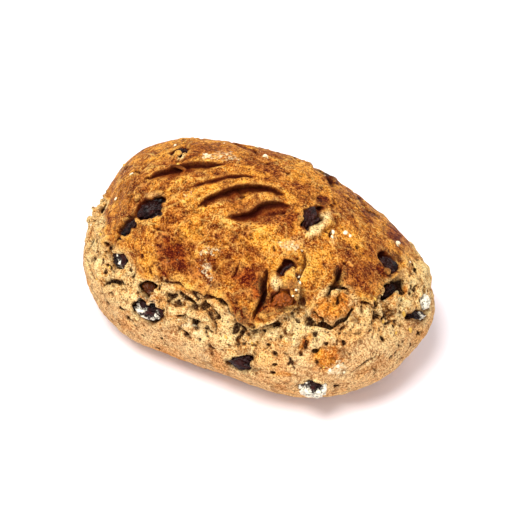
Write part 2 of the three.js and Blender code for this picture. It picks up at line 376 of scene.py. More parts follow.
class Dough:
    """The grid of distances and the hand tools that change it."""

    def __init__(self):
        self.axes = [
            np.arange(low, high, VOXEL, dtype=np.float32) for low, high in zip(GRID_LOW, GRID_HIGH)
        ]
        self.shape = tuple(len(axis) for axis in self.axes)
        self.outline = edge_outline()
        self._lay_out_heights()
        self.warp = [
            WIDE_PUSH * grid_bumps(self.shape, WIDE_WARP, axis)
            + CLOSE_PUSH * grid_bumps(self.shape, CLOSE_WARP, axis)
            for axis in range(3)
        ]

    def _lay_out_heights(self):
        """Height above the smooth loaf and distance above the crust's edge, worked out coarsely."""
        counts = [n // COARSE + 2 for n in self.shape]
        lines = [low + np.arange(n) * VOXEL * COARSE for low, n in zip(GRID_LOW, counts)]
        points = np.stack(np.meshgrid(*lines, indexing="ij"), -1)
        rise = above_loaf(points)
        slope = np.gradient(rise, VOXEL * COARSE)
        steep = np.sqrt(sum(part ** 2 for part in slope))
        offset = points - CENTRE
        length = np.linalg.norm(offset, axis=-1) + 1e-9
        azimuth = np.arctan2(offset[..., 1], offset[..., 0]) / DEGREE
        elevation = np.arcsin(offset[..., 2] / length) / DEGREE
        edge = elevation - round_values(azimuth, self.outline)
        self.height = self._refine(rise / np.maximum(steep, 1))
        self.edge = self._refine(edge * DEGREE * length)
        self.step = self._refine(round_values(azimuth, LEDGE_STEPS))
        self.softness = self._refine(round_values(azimuth, EDGE_SOFTNESS))

    def _refine(self, coarse):
        """Spreads a coarse field over the whole grid by straight lines between its points."""
        field = coarse.astype(np.float32)
        for axis in range(3):
            position = np.arange(self.shape[axis], dtype=np.float32) / COARSE
            index = position.astype(int)
            shape = [1, 1, 1]
            shape[axis] = self.shape[axis]
            share = (position - index).reshape(shape)
            field = np.take(field, index, axis) * (1 - share) + np.take(field, index + 1, axis) * share
        return field

    # ---- reading and windows ----

    def window(self, low, high):
        """Slices of the grid that cover a box."""
        cut = []
        for axis in range(3):
            first = int((low[axis] - GRID_LOW[axis]) / VOXEL)
            last = int((high[axis] - GRID_LOW[axis]) / VOXEL) + 2
            cut.append(slice(max(first, 0), max(min(last, self.shape[axis]), 0)))
        return tuple(cut)

    def points(self, cut):
        """Places of the grid points in a window, made a little uneven."""
        parts = np.meshgrid(*[axis[part] for axis, part in zip(self.axes, cut)], indexing="ij")
        return np.stack([part + warp[cut] for part, warp in zip(parts, self.warp)], -1)

    def around(self, place, reach, turn=0):
        """A window round a place with its points' distances along and across the surface."""
        cut = self.window(place.point - reach, place.point + reach)
        offset = self.points(cut) - place.point.astype(np.float32)
        along, across = place.turned(turn)
        return cut, offset @ along.astype(np.float32), offset @ across.astype(np.float32)

    def read(self, field, points):
        """Values of a grid field at loose points."""
        position = np.clip((points - GRID_LOW) / VOXEL, 0, np.array(self.shape) - 1.01)
        index = position.astype(int)
        total = np.zeros(len(points))
        for corner, weight in corner_weights(position - index):
            x, y, z = (index + corner).T
            total += weight * field[x, y, z]
        return total

    def first_met(self, points, level):
        """The place where a line of points first enters the bread."""
        value = self.read(self.field, points)
        index = max(np.argmax(value < 0), 1) if (value < 0).any() else np.argmin(value)
        before, after = value[index - 1], value[index]
        share = np.clip(before / (before - after), 0, 1) if before > after else 1
        point = points[index - 1] + (points[index] - points[index - 1]) * share
        return Place(point, level, self.read(self.height, point[None])[0])

    def seen(self, x, y):
        """The place of the bread that the photograph shows at a pixel."""
        return self.first_met(*sight_line(x, y))

    def at(self, azimuth, elevation):
        """The place of the bread at an azimuth and elevation."""
        way = direction(azimuth, elevation)
        reach = loaf_radius(way) + np.arange(8, -14, -SIGHT_STEP)
        level = np.array([-math.sin(azimuth * DEGREE), math.cos(azimuth * DEGREE), 0.0])
        return self.first_met(CENTRE + way * reach[:, None], level)

    def take_away(self, cut, distance, blend):
        """Cuts a shape out of the dough, with its rim rounded over `blend`."""
        self.field[cut] = soft_max(self.field[cut], -distance, blend)

    def put_on(self, cut, distance, blend):
        """Adds a shape to the dough, with the seam rounded over `blend`."""
        self.field[cut] = soft_min(self.field[cut], distance, blend)

    # ---- the large forms ----

    def raise_loaf(self):
        """Crust cap with an overhanging edge over the torn crumb, which runs down to a smooth wall."""
        shape = self.shape
        broad, middle, small, fine = [grid_bumps(shape, kind) for kind in (BROAD, MIDDLE, SMALL, FINE)]
        self.grain = 0.6 * small + 0.5 * fine
        strands, tears = grid_bumps(shape, STRANDS), grid_bumps(shape, TEARS)
        wrinkles = np.exp(-(grid_bumps(shape, WRINKLES) / WRINKLE_SHARPNESS) ** 2) * (broad > -0.3)
        self.edge += EDGE_RAGGED * (0.7 * middle + 0.5 * small) * smooth_step(-np.abs(self.edge), -30, -8)
        edge = self.edge
        lip = LEDGE_LIP * np.minimum(self.step, LIP_MOST) * np.exp(-(edge / LIP_RISE) ** 2) * (edge > -2)
        lip += 0.45 * broad + 0.30 * middle + 0.20 * small + 0.19 * fine - 0.45 * wrinkles
        underside = -(edge + UNDERCUT * np.minimum(self.height, 1)) / math.hypot(1, UNDERCUT)
        crust = soft_max(self.height - lip, underside, UNDERSIDE_BLEND)
        below = -edge
        band = smooth_step(below, -2, 3) * (1 - smooth_step(below, 0.55 * BAND_HEIGHT, BAND_HEIGHT))
        wall = smooth_step(below, 0.6 * BAND_HEIGHT, BAND_HEIGHT)
        relief = -self.step * (1 - smooth_step(below, 0, BAND_HEIGHT * 0.8)) * smooth_step(below, -8, 0)
        relief += band * (0.8 * middle + 0.7 * np.abs(strands) - 0.55 + 0.55 * small + 0.40 * fine)
        torn = 0.16 * np.minimum(tears, 0)
        relief += wall * (0.4 * broad + 0.3 * middle + 0.14 * small + torn + 0.14 * fine)
        relief -= 0.5 * wrinkles * (below > 0)
        self.field = soft_min(crust, self.height - relief, CRUST_BLEND)
        # Brown of the slash floors, and painted shade under the slash lips and on the raisin sockets'
        # walls.
        self.cut_floor_and_shade = np.zeros(shape, np.float32)

    def flatten_base(self):
        """Cuts the dough off at the floor."""
        base = np.broadcast_to(-self.axes[2].reshape(1, 1, -1), self.shape)
        self.field = soft_max(self.field, base.astype(np.float32), BASE_ROUNDING)

    # ---- hand tools ----

    def slash(self, first, last, width, depth, bow, skew, side):
        """A cut with a steep wall on its ridge side and a floor that climbs out on the other."""
        height = (first.height + last.height) / 2
        middle = Place((first.point + last.point) / 2, last.point - first.point, height)
        span = np.linalg.norm(last.point - first.point)
        cut, u, v = self.around(middle, span / 2 + width + 4)
        height = self.height[cut] - middle.height
        t = np.clip(2 * u / span, -1, 1)
        taper = np.sqrt(np.maximum(1 - t * t, 0))
        v = side * v - bow * (1 - t * t)
        half = np.maximum(width / 2 * taper ** 1.3 * (1 + skew * t), 0.02)
        wall = v - half - SLASH_UNDERCUT * np.maximum(-height, 0)
        climb = np.clip((v + half) / (2 * half), 0, 1)
        floor = -depth * taper * climb ** 1.3 - height
        ends = np.abs(2 * u / span) * 50 - 50
        hollow = np.maximum(np.maximum(wall, floor), ends)
        self.take_away(cut, hollow + SLASH_ROUGH * self.grain[cut], SLASH_BLEND)
        # Brown of the cut floor, rising to painted shade at the steep wall under the lip.
        floor_and_shade = smooth_step(hollow, 0.8, 0.2) * np.minimum(4 * climb, 1) * (0.1 + 0.9 * climb ** 1.4)
        self.cut_floor_and_shade[cut] = np.maximum(self.cut_floor_and_shade[cut], floor_and_shade)

    def hollow(self, place, size, turn, ragged=0.3):
        """An uneven hole with its middle on the surface."""
        cut, distance = self._egg(place, size, turn, 0)
        self.take_away(cut, distance + ragged * self.grain[cut], HOLE_BLEND)

    def lump(self, place, size, turn, lift, rough, blend=1.0):
        """An uneven mound with its middle `lift` above the surface."""
        cut, distance = self._egg(place, size, turn, lift)
        self.put_on(cut, distance - rough * self.grain[cut], blend)

    def swell(self, place, size, turn, rise):
        """Raises or sinks the surface in a broad, soft mound."""
        cut, u, v = self.around(place, 0.7 * max(size) + 10, turn)
        near = np.abs(self.height[cut] - place.height) < 12
        self.field[cut] -= rise * near * np.exp(-(2 * u / size[0]) ** 2 - (2 * v / size[1]) ** 2)

    def _egg(self, place, size, turn, lift):
        """A window round a place with its points' distances to an egg of the given size."""
        half = np.array(size) / 2
        cut, u, v = self.around(place, half.max() + 4, turn)
        w = self.height[cut] - place.height - lift
        reach = np.sqrt((u / half[0]) ** 2 + (v / half[1]) ** 2 + (w / half[2]) ** 2) + 1e-6
        steep = np.sqrt((u / half[0] ** 2) ** 2 + (v / half[1] ** 2) ** 2 + (w / half[2] ** 2) ** 2) + 1e-6
        return cut, reach * (reach - 1) / steep

    def _trail(self, places, reach, lean):
        """A window round a line of places, with the distance from the line and the share of its length."""
        spots = np.array([place.point for place in places])
        cut = self.window(spots.min(0) - reach, spots.max(0) + reach)
        points = self.points(cut)
        height = self.height[cut]
        lengths = np.linalg.norm(np.diff(spots, axis=0), axis=1)
        run = np.concatenate([[0], np.cumsum(lengths)])
        nearest = np.full(height.shape, 99, np.float32)
        share = np.zeros(height.shape, np.float32)
        levels = [place.height for place in places]
        for index, length in enumerate(lengths):
            way = (spots[index + 1] - spots[index]) / length
            out = places[index].out
            side = np.cross(out, way)
            offset = (points - spots[index]).astype(np.float32)
            along = np.clip(offset @ way, 0, length)
            offset = offset - along[..., None] * way
            offset = offset - (offset @ out)[..., None] * out
            offset = offset + (lean * (height - levels[index]))[..., None] * side
            apart = np.linalg.norm(offset, axis=-1)
            closer = apart < nearest
            nearest = np.where(closer, apart, nearest)
            share = np.where(closer, (run[index] + along) / run[-1], share)
        return cut, nearest, share, height - np.interp(share, run / run[-1], levels).astype(np.float32)

    def crease(self, places, width, depth, lean):
        """A V-shaped tear along a line of places, narrowing to its ends."""
        cut, apart, share, height = self._trail(places, width + depth + 3, lean)
        taper = np.sqrt(np.clip(1 - (2 * share - 1) ** 2, 0.02, 1))
        open_share = np.clip(1 + height / (depth * taper), 0, 1.3)
        self.take_away(cut, apart - width / 2 * taper * open_share + 1.0 * (open_share <= 0), CREASE_BLEND)

    def ridge(self, places, width, lift):
        """A thin raised bead along a line of places."""
        cut, apart, share, height = self._trail(places, width + 4, 0)
        taper = np.sqrt(np.clip(1 - (2 * share - 1) ** 4, 0.02, 1))
        self.put_on(cut, np.hypot(apart, height - lift) - width / 2 * taper, RIDGE_BLEND)


# ======================================================================== drawing the surface

def draw_surface(field):
    """Points and four-sided faces of the surface where the field crosses zero, one point a cell."""
    inside = field < 0
    corners = [(i, j, k) for i in (0, 1) for j in (0, 1) for k in (0, 1)]
    cells = tuple(n - 1 for n in field.shape)
    total = np.zeros(cells, np.uint8)
    for i, j, k in corners:
        total += inside[i:i + cells[0], j:j + cells[1], k:k + cells[2]]
    crossed = (total > 0) & (total < 8)
    cell = np.argwhere(crossed)
    number = np.full(cells, -1, np.int32)
    number[crossed] = np.arange(len(cell), dtype=np.int32)
    value = {c: field[cell[:, 0] + c[0], cell[:, 1] + c[1], cell[:, 2] + c[2]] for c in corners}
    place = np.zeros((len(cell), 3))
    count = np.zeros(len(cell))
    for start in corners:
        for axis in range(3):
            if start[axis]:
                continue
            end = tuple(1 if a == axis else c for a, c in enumerate(start))
            a, b = value[start], value[end]
            crossing = (a < 0) != (b < 0)
            share = np.where(crossing, a / np.where(crossing, a - b, 1), 0)
            spot = np.array(start, float) + share[:, None] * np.eye(3)[axis]
            place += spot * crossing[:, None]
            count += crossing
    place = (cell + place / count[:, None]) * VOXEL + GRID_LOW
    faces = []
    for axis in range(3):
        b, c = (axis + 1) % 3, (axis + 2) % 3
        near = [slice(1, n - 1) for n in field.shape]
        far = list(near)
        near[axis], far[axis] = slice(0, field.shape[axis] - 1), slice(1, field.shape[axis])
        first, second = inside[tuple(near)], inside[tuple(far)]
        edges = np.argwhere(first != second)
        out = first[tuple(edges.T)]
        edges[:, b] += 1
        edges[:, c] += 1
        ring = []
        for db, dc in ((1, 1), (0, 1), (0, 0), (1, 0)):
            at = edges.copy()
            at[:, b] -= db
            at[:, c] -= dc
            ring.append(number[tuple(at.T)])
        ring = np.stack(ring, 1)
        faces.append(np.where(out[:, None], ring, ring[:, ::-1]))
    return place, np.concatenate(faces)


def largest_piece(points, faces):
    """The points and faces of the largest joined surface, without loose crumbs and sealed bubbles."""
    label = np.arange(len(points))
    while True:
        lowest = label[faces].min(1)
        new = label.copy()
        for corner in range(4):
            np.minimum.at(new, faces[:, corner], lowest)
        new = new[new]
        if (new == label).all():
            break
        label = new
    kept = label == np.bincount(label).argmax()
    renumber = np.cumsum(kept) - 1
    return points[kept], renumber[faces[kept[faces[:, 0]]]]


def make_mesh(name, points, faces):
    """A smooth-shaded mesh object in metres from points in millimetres."""
    mesh = bpy.data.meshes.new(name)
    mesh.vertices.add(len(points))
    mesh.vertices.foreach_set("co", (points * MM).astype(np.float32).ravel())
    sides = faces.shape[1]
    mesh.loops.add(faces.size)
    mesh.loops.foreach_set("vertex_index", faces.astype(np.int32).ravel())
    mesh.polygons.add(len(faces))
    mesh.polygons.foreach_set("loop_start", np.arange(0, faces.size, sides, dtype=np.int32))
    mesh.polygons.foreach_set("use_smooth", np.ones(len(faces), bool))
    mesh.update(calc_edges=True)
    thing = bpy.data.objects.new(name, mesh)
    bpy.context.scene.collection.objects.link(thing)
    return thing


def apply_modifier(thing, kind, **settings):
    """Works a modifier into the mesh of an object."""
    modifier = thing.modifiers.new(kind.title(), kind)
    for key, value in settings.items():
        setattr(modifier, key, value)
    evaluated = thing.evaluated_get(bpy.context.evaluated_depsgraph_get())
    mesh = bpy.data.meshes.new_from_object(evaluated)
    thing.modifiers.clear()
    old = thing.data
    thing.data = mesh
    mesh.name = old.name
    bpy.data.meshes.remove(old)


def mesh_points(thing):
    """The points of a mesh, in millimetres."""
    points = np.zeros(len(thing.data.vertices) * 3, np.float32)
    thing.data.vertices.foreach_get("co", points)
    return points.reshape(-1, 3).astype(float) / MM


def paint(thing, name, values):
    """Stores one value a point under a name that the materials read."""
    layer = thing.data.attributes.new(name, "FLOAT", "POINT")
    layer.data.foreach_set("value", np.clip(values, 0, 1).astype(np.float32))


# ======================================================================== the raisins

RAISIN_FULLNESS = 2.4
SOCKET_OPENING = 0.35
RAISIN_NAMES = sorted(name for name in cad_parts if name.startswith("raisin"))
RAISIN_DETAIL = 5
GOLDEN_RAISINS = ("raisin_burst_lower", "raisin_left_under")
# Share of each raisin that flour covers, and how far its folds stay bare.
FLOURED_RAISINS = {
    "raisin_base_edge": 0.42, "raisin_right_floured": 1.0, "raisin_left_low": 0.22,
    "raisin_right_end": 0.08, "raisin_left_band": 0.05,
}
FOLD_BARE = 1.1
# Painted shade: how much darker than the others a raisin is that lies in shade under the crust's edge.
SHADED_RAISINS = {"raisin_left_under": 0.7}


class Raisin:
    """Middle, directions and half sizes of a packed raisin: outward first, then across and along."""

    def __init__(self, name):
        self.name = name
        points = mesh_points(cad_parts[name])
        self.middle = (points.min(0) + points.max(0)) / 2
        offset = self.middle - CENTRE
        way = offset / np.linalg.norm(offset)
        self.out = outward_at(CENTRE + way * loaf_radius(way))
        offset = points - self.middle
        _, axes = np.linalg.eigh(offset.T @ offset)
        order = np.argsort(-np.abs(self.out @ axes))
        order = [order[0]] + sorted(order[1:])
        self.axes = axes[:, order]
        if self.axes[:, 0] @ self.out < 0:
            self.axes[:, 0] *= -1
        reach = offset @ self.axes
        self.middle = self.middle + self.axes @ ((reach.max(0) + reach.min(0)) / 2)
        self.half = (reach.max(0) - reach.min(0)) / 2 * (1, 1.06, 1.06)

    def socket(self, points, grow):
        """Distance to the raisin's outline, grown a little and opened towards the outside."""
        local = (points - self.middle) @ self.axes / (self.half + grow)
        local[..., 0] *= np.where(local[..., 0] > 0, SOCKET_OPENING, 1)
        reach = full_length(local) + 1e-6
        return (reach - 1) * self.half[1]


def full_length(local):
    """Length of vectors by a measure that gives a plump, flat-topped pebble."""
    flat = np.hypot(local[..., 1], local[..., 2])
    return (np.abs(local[..., 0]) ** RAISIN_FULLNESS + flat ** RAISIN_FULLNESS) ** (1 / RAISIN_FULLNESS)


def round_ball(detail):
    """Points and triangles of a ball of radius 1."""
    mesh = bmesh.new()
    bmesh.ops.create_icosphere(mesh, subdivisions=detail, radius=1)
    points = np.array([vertex.co for vertex in mesh.verts])
    faces = np.array([[vertex.index for vertex in face.verts] for face in mesh.faces])
    mesh.free()
    return points, faces


def make_raisin(raisin, seed):
    """A shrunken skin: deep folds that run lengthways, smaller wrinkles between them."""
    points, faces = round_ball(RAISIN_DETAIL)
    turned = points[:, [1, 0, 2]]
    swirl = turned + 0.35 * np.stack([bumps(turned, 0.7, seed + axis) for axis in range(3)], 1)
    folds = np.abs(bumps(swirl * (1, 1, 0.55), 0.36, seed + 4))
    wrinkles = np.abs(bumps(swirl, 0.2, seed + 5))
    dents = bumps(points, 1.1, seed + 6)
    crease = 0.30 * (1 - np.minimum(folds * 2.4, 1)) + 0.14 * (1 - np.minimum(wrinkles * 2.4, 1))
    radius = 1.1 - crease + 0.16 * dents + 0.03 * bumps(points, 0.11, seed + 9)
    radius /= full_length(points)
    shape = (points * radius[:, None] * raisin.half) @ raisin.axes.T + raisin.middle
    thing = make_mesh(raisin.name + "_skin", shape, faces)
    # Painted shade: darker in the creases, and all over a raisin that lies in shade.
    paint(thing, "fold_shade", crease * 2 + SHADED_RAISINS.get(raisin.name, 0.0))
    outward = (shape - raisin.middle) @ raisin.out
    cover = FLOURED_RAISINS.get(raisin.name, 0.0)
    clumps = 0.5 + 0.5 * bumps(shape, 3.0, seed + 7) + 0.15 * bumps(shape, 0.8, seed + 8)
    low = (raisin.middle[2] - shape[:, 2]) / raisin.half.max()
    dust = smooth_step(clumps + cover + 0.4 * low - 0.75, -0.22, 0.22) * (outward > -1) * (cover > 0)
    paint(thing, "flour", dust * (1 - FOLD_BARE * crease))
    return thing


# ======================================================================== loose bits

# Pixels of yellow grains and of pale flakes of flour, each with its size in mm.
GRAINS_SEEN = [
    ((403.5, 314), 2.6), ((410, 330), 2.4), ((383, 322), 1.8), ((375, 299), 1.6), ((147, 310), 1.8),
    ((101, 234), 2.0), ((110, 267), 1.6), ((97, 279), 1.4), ((226, 337), 1.8), ((324, 367), 1.4),
    ((252, 343), 1.3), ((396, 333), 1.4), ((309, 382), 1.2), ((240, 361), 1.2),
]
FLAKES_SEEN = [
    ((116, 199), 1.9), ((206, 155), 2.0), ((265, 156), 2.2), ((398, 243), 2.4), ((345, 233), 2.6),
    ((350, 236), 1.6), ((333, 232), 2.2), ((332, 237), 1.7), ((424, 298), 3.0), ((428, 303), 2.6),
    ((330, 370), 2.2), ((338, 366), 2.0), ((344, 372), 1.6), ((300, 283), 1.3), ((296, 290), 1.4),
    ((293, 296), 1.2), ((299, 277), 1.2), ((275, 305), 1.2), ((410, 262), 1.2),
]
PEBBLE_DETAIL = 2
# On the far side: how many bits of each kind, between which azimuths and elevations.
HIDDEN_BITS = 14
BITS_SPAN = (35, 200)
BITS_ELEVATION = (0, 65)


def scatter_bits(name, dough, seen, rng):
    """Small uneven pebbles half sunk in the bread's skin, joined into one mesh."""
    ball, ball_faces = round_ball(PEBBLE_DETAIL)
    spots = [(dough.seen(*pixel), size) for pixel, size in seen]
    for _ in range(HIDDEN_BITS):
        place = dough.at(rng.uniform(*BITS_SPAN), rng.uniform(*BITS_ELEVATION))
        spots.append((place, rng.uniform(1.0, 2.4)))
    points, faces = [], []
    for index, (place, size) in enumerate(spots):
        along, across = place.turned(rng.uniform(0, 180))
        half = size / 2 * np.array([rng.uniform(0.9, 1.5), rng.uniform(0.7, 1.0), rng.uniform(0.45, 0.7)])
        lumpy = ball * (1 + 0.3 * bumps(ball + 7 * index, 0.8, PEBBLE_SEED))[:, None] * half
        points.append(place.point + place.out * 0.1 * size + lumpy @ np.array([along, across, place.out]))
        faces.append(ball_faces + len(ball) * index)
    return make_mesh(name, np.concatenate(points), np.concatenate(faces))


# ======================================================================== the bread's relief

# Broad mounds and hollows of the crust: pixel, size along and across in mm, turn, rise.
SWELLS_SEEN = [
    ((305, 268), (24, 30), 70, 1.6), ((176, 258), (26, 24), 30, -1.0), ((247, 276), (18, 14), 0, -1.0),
    ((215, 262), (16, 24), 60, 0.9), ((358, 276), (22, 20), 0, 0.9), ((284, 216), (20, 12), 0, -1.0),
    ((262, 250), (22, 16), 20, 1.0), ((345, 222), (22, 14), -30, 0.8), ((130, 200), (20, 14), 60, 0.8),
    ((118, 302), (20, 12), -30, 1.8), ((300, 345), (36, 22), 0, 0.8), ((337, 386), (10, 8), 0, -1.2),
    ((206, 322), (12, 20), -60, -1.2), ((395, 340), (24, 22), 0, 0.8), ((240, 345), (20, 10), 0, -0.6),
    ((211, 352), (18, 5), -75, -0.9), ((388, 316), (9, 7), 0, -1.4), ((145, 262), (16, 10), -60, 0.8),
    ((103, 200), (22, 16), 60, -6.5), ((205, 188), (26, 8), 20, 0.7), ((325, 245), (18, 12), 20, 0.7),
    ((95, 219), (14, 12), 60, 1.2), ((388, 316), (13, 10), 0, -1.6), ((270, 232), (26, 10), 20, 0.8),
    ((150, 235), (22, 16), 40, 0.8), ((330, 195), (26, 16), -40, 0.6),
]

# Wide cavities: pixel, size along, across and out in mm, turn.
CAVITIES_SEEN = [
    ((392, 287), (14, 8, 12), 35), ((402, 290), (9, 8, 9), -35), ((386, 291), (7, 6, 7), 45),
    ((191, 303), (16, 4.8, 5), -28), ((326, 172), (10, 4, 6), -30), ((150, 178), (4, 3.0, 3), 20),
    ((287, 309), (14, 3.2, 4), 3), ((302, 303), (4.5, 7, 6), 10),
]

# Lumps and flaps of torn dough: pixel, size along, across and out in mm, turn, lift, roughness.
LUMPS_SEEN = [
    ((98, 215), (13, 7, 6), 70, 0.6, 0.5), ((106, 246), (12, 6, 4), 60, 0.0, 0.8),
    ((283, 297), (16, 14, 5), 10, 0.0, 0.5), ((270, 314), (8, 7, 3.4), 30, 0.4, 0.6),
    ((296, 289), (6, 13, 4.5), 5, 0.4, 1.1), ((334, 307), (29, 17, 7), 18, 0.4, 1.2),
    ((391, 303), (7.5, 6.5, 6), 10, 1.2, 0.4), ((391, 296), (7, 3.2, 5), 20, 2.0, 0.5),
    ((404, 291), (4.2, 7, 5), 20, 2.2, 0.5), ((397, 307), (8, 3, 4), -10, 0.8, 0.4),
    ((331, 181), (7, 12, 3), -40, 1.0, 0.4), ((330, 214), (8, 6, 3), 10, 0.4, 0.8),
    ((322, 293), (11, 4, 3.5), 30, 0.8, 0.6), ((246, 318), (10, 9, 3), -20, 0.4, 0.5),
    ((290, 287), (9, 9, 6), 20, 0.8, 0.6), ((405, 262), (8, 6, 3), -50, 0.2, 0.4),
    ((370, 330), (12, 9, 3), 40, 0.0, 0.6), ((160, 290), (8, 5, 4), -20, 0.2, 0.8),
    ((213, 303), (9, 5, 3.5), -20, 0.4, 0.9), ((300, 330), (10, 6, 3), 0, 0.0, 0.9),
]

# Torn dough that lies partly over raisins.
FLAPS_SEEN = [
    ((155, 196), (13, 4.5, 3.4), 8, 1.2, 0.4), ((140, 199), (5, 3, 3), 50, 1.2, 0.4),
    ((323, 223), (17, 6.5, 5), 48, 0.6, 1.2), ((316, 234), (7, 5, 4), 20, 0.6, 1.0),
    ((276, 281), (8, 8.5, 6), 20, 1.2, 0.8), ((293, 276), (4, 8, 4), 10, 0.8, 0.8),
    ((183, 156), (4, 2.4, 2.2), 30, 0.7, 0.4), ((121, 258), (8, 4, 3), 10, 0.3, 0.6),
    ((385, 270), (4, 4, 3), 0, 0.6, 0.5), ((130, 224), (3, 8, 3), -40, 0.3, 0.4),
]

# Raised lines: width and lift in mm, then pixels.
RIDGES_SEEN = [
    (2.2, 0.1, [(121, 182), (131, 177.5), (141, 175)]),
    (1.8, 0.2, [(151, 216), (162, 210.5), (175, 205.5), (180, 202)]),
    (1.1, 0.2, [(175, 211), (184, 210), (193, 211.5)]),
    (1.1, 0.2, [(181, 241), (192, 241), (202, 242)]),
    (1.3, 0.2, [(248, 234), (254, 230), (261, 229), (267, 234), (274, 241), (284, 247)]),
    (1.2, 0.2, [(284, 224), (286, 231), (288, 239)]),
    (1.5, 0.3, [(312, 177), (315, 184), (323, 187), (331, 188)]),
    (1.2, 0.2, [(331, 189), (332, 200)]),
    (1.2, 0.2, [(345, 214), (353, 216), (361, 223), (367, 227)]),
    (1.1, 0.2, [(339, 222), (346, 230)]),
    (1.1, 0.2, [(358, 243), (368, 252)]),
    (1.6, 0.6, [(282, 308), (273, 313), (262, 319)]),
    (1.8, 0.2, [(350, 343), (340, 356), (327, 374)]),
    (4.5, 0.8, [(168, 302), (175, 311), (190, 313), (206, 318), (214, 328)]),
    (2.2, 0.8, [(381, 302), (379, 310), (382, 318), (392, 323)]),
    (1.2, 0.2, [(203, 243), (213, 247), (224, 246), (233, 243)]),
    (1.1, 0.2, [(350, 205), (359, 211), (368, 221)]),
    (1.1, 0.2, [(300, 236), (310, 232), (322, 243)]),
    (1.2, 0.2, [(210, 214), (222, 226), (236, 230), (248, 226)]),
    (1.1, 0.2, [(328, 252), (340, 246), (352, 250), (360, 262)]),
    (1.0, 0.2, [(160, 190), (172, 187), (185, 189)]),
    (1.0, 0.2, [(216, 272), (224, 262), (236, 256)]),
    (1.6, 0.3, [(186, 196), (197, 201), (208, 195), (220, 188)]),
    (1.6, 0.2, [(128, 245), (136, 252), (140, 266), (143, 276)]),
    (2.0, 0.3, [(372, 296), (369, 306), (366, 317)]),
]

# Tears and folds: width, depth and lean, then pixels.
CREASES_SEEN = [
    (1.6, 2.4, 0.2, [(125, 177), (131, 173), (136, 171.5), (142, 174)]),
    (3.0, 4.5, 0.0, [(135, 214), (125, 221), (119, 230), (120, 240)]),
    (1.8, 2.4, 0.3, [(133, 242), (136, 254), (133, 268), (132, 283)]),
    (3.4, 5.0, -0.3, [(102, 286), (110, 281.5), (118, 282), (127, 286)]),
    (2.8, 3.5, 0.0, [(84, 256), (87, 265), (90, 272), (95, 279)]),
    (1.6, 2.2, 0.0, [(241, 262), (237, 269), (233, 277)]),
    (3.4, 6.0, 0.2, [(269, 270), (263, 284), (261, 300), (256, 322)]),
    (3.2, 5.5, 0.3, [(341, 266), (338, 277), (335, 287), (326, 299)]),
    (2.2, 5.0, -0.4, [(305, 314), (312, 324), (329, 326), (341, 320), (351, 311), (363, 301)]),
    (2.4, 4.0, 0.3, [(382, 290), (378, 303), (374, 316), (370, 326)]),
    (1.8, 2.6, 0.0, [(386, 326), (391, 321), (397, 318)]),
    (1.5, 2.4, 0.0, [(379, 346), (377, 355), (366, 361), (356, 367), (349, 376)]),
    (1.5, 2.4, 0.0, [(179, 325), (184, 331), (190, 339)]),
    (1.5, 2.4, 0.0, [(191, 323), (195, 334)]),
    (1.4, 2.2, 0.0, [(158, 316), (165, 323), (175, 333)]),
    (1.5, 2.2, 0.2, [(364, 208), (371, 212), (379, 217)]),
    (1.8, 2.8, 0.0, [(330, 229), (330, 238)]),
    (2.4, 3.5, 0.0, [(318, 232), (320, 240)]),
    (1.3, 1.8, 0.0, [(274, 244), (276, 254)]),
    (1.8, 2.6, 0.0, [(205, 309), (211, 318), (216, 329)]),
    (1.8, 2.8, 0.2, [(312, 167.5), (320, 171), (328, 177), (334, 188)]),
    (1.5, 2.2, 0.0, [(248, 146), (254, 150), (259, 155)]),
    (1.6, 3.0, 0.0, [(296, 158), (300, 163)]),
    (1.4, 2.4, 0.0, [(229, 306), (236, 316), (241, 309), (247, 320)]),
]

# Holes: pixel, size along, across and out in mm, turn.
HOLES_SEEN = [
    ((121, 191), (2.6, 2.8, 3), 0), ((97, 249), (2.0, 5.0, 4), 10), ((108, 243), (2.4, 5.5, 4), 0),
    ((102, 242), (1.8, 2.6, 3), 0), ((142, 256), (2.4, 3.0, 3), 0), ((157, 269), (2.2, 2.6, 3), 0),
    ((164, 310), (2.0, 2.6, 3), 0), ((159, 315), (1.8, 2.2, 3), 0), ((191, 300), (2.6, 2.0, 3), 0),
    ((217, 316), (2.8, 2.6, 3.5), 0), ((206, 326), (2.2, 2.4, 3), 0), ((195, 322), (2.0, 2.4, 3), 0),
    ((253, 328), (4.6, 3.0, 5), -10), ((275, 331), (2.2, 2.0, 3), 0), ((253, 338), (2.2, 2.0, 3), 0),
    ((261, 339), (2.2, 2.2, 3), 0), ((231, 344), (5.5, 1.8, 3), -25), ((245, 345), (2.6, 1.6, 3), 0),
    ((254, 349), (5.0, 1.6, 3), 10), ((274, 356), (3.0, 2.0, 3), 20), ((271, 373), (2.8, 2.6, 3.5), 20),
    ((267, 378), (2.0, 1.6, 2.5), 0), ((273, 365), (2.6, 1.8, 3), 30), ((343, 326), (4.2, 3.2, 5), 20),
    ((345, 340), (4.2, 3.0, 4.5), -20), ((316, 340), (3.6, 4.6, 5), -20), ((336, 328), (2.2, 2.2, 3), 0),
    ((387, 326), (3.6, 2.2, 3), 35), ((337, 386), (3.0, 2.4, 2), 0), ((319, 236), (2.6, 3.2, 4), 0),
    ((226, 146), (2.2, 1.6, 2), 0), ((273, 215), (14, 4, 2.5), 10), ((282, 340), (2.2, 2.0, 3), 0),
    ((430, 292), (2.0, 2.6, 3), 0), ((427, 303), (2.2, 2.6, 3), 0), ((260, 342), (1.8, 1.8, 3), 0),
    ((279, 347), (2.6, 2.0, 3), 0), ((300, 352), (2.0, 1.8, 3), 0), ((384, 341), (2.2, 1.8, 3), 0),
    ((160, 281), (4.5, 2.4, 3), -50), ((148, 272), (2.4, 4.0, 3), 20), ((205, 333), (2.0, 2.6, 3), 0),
]

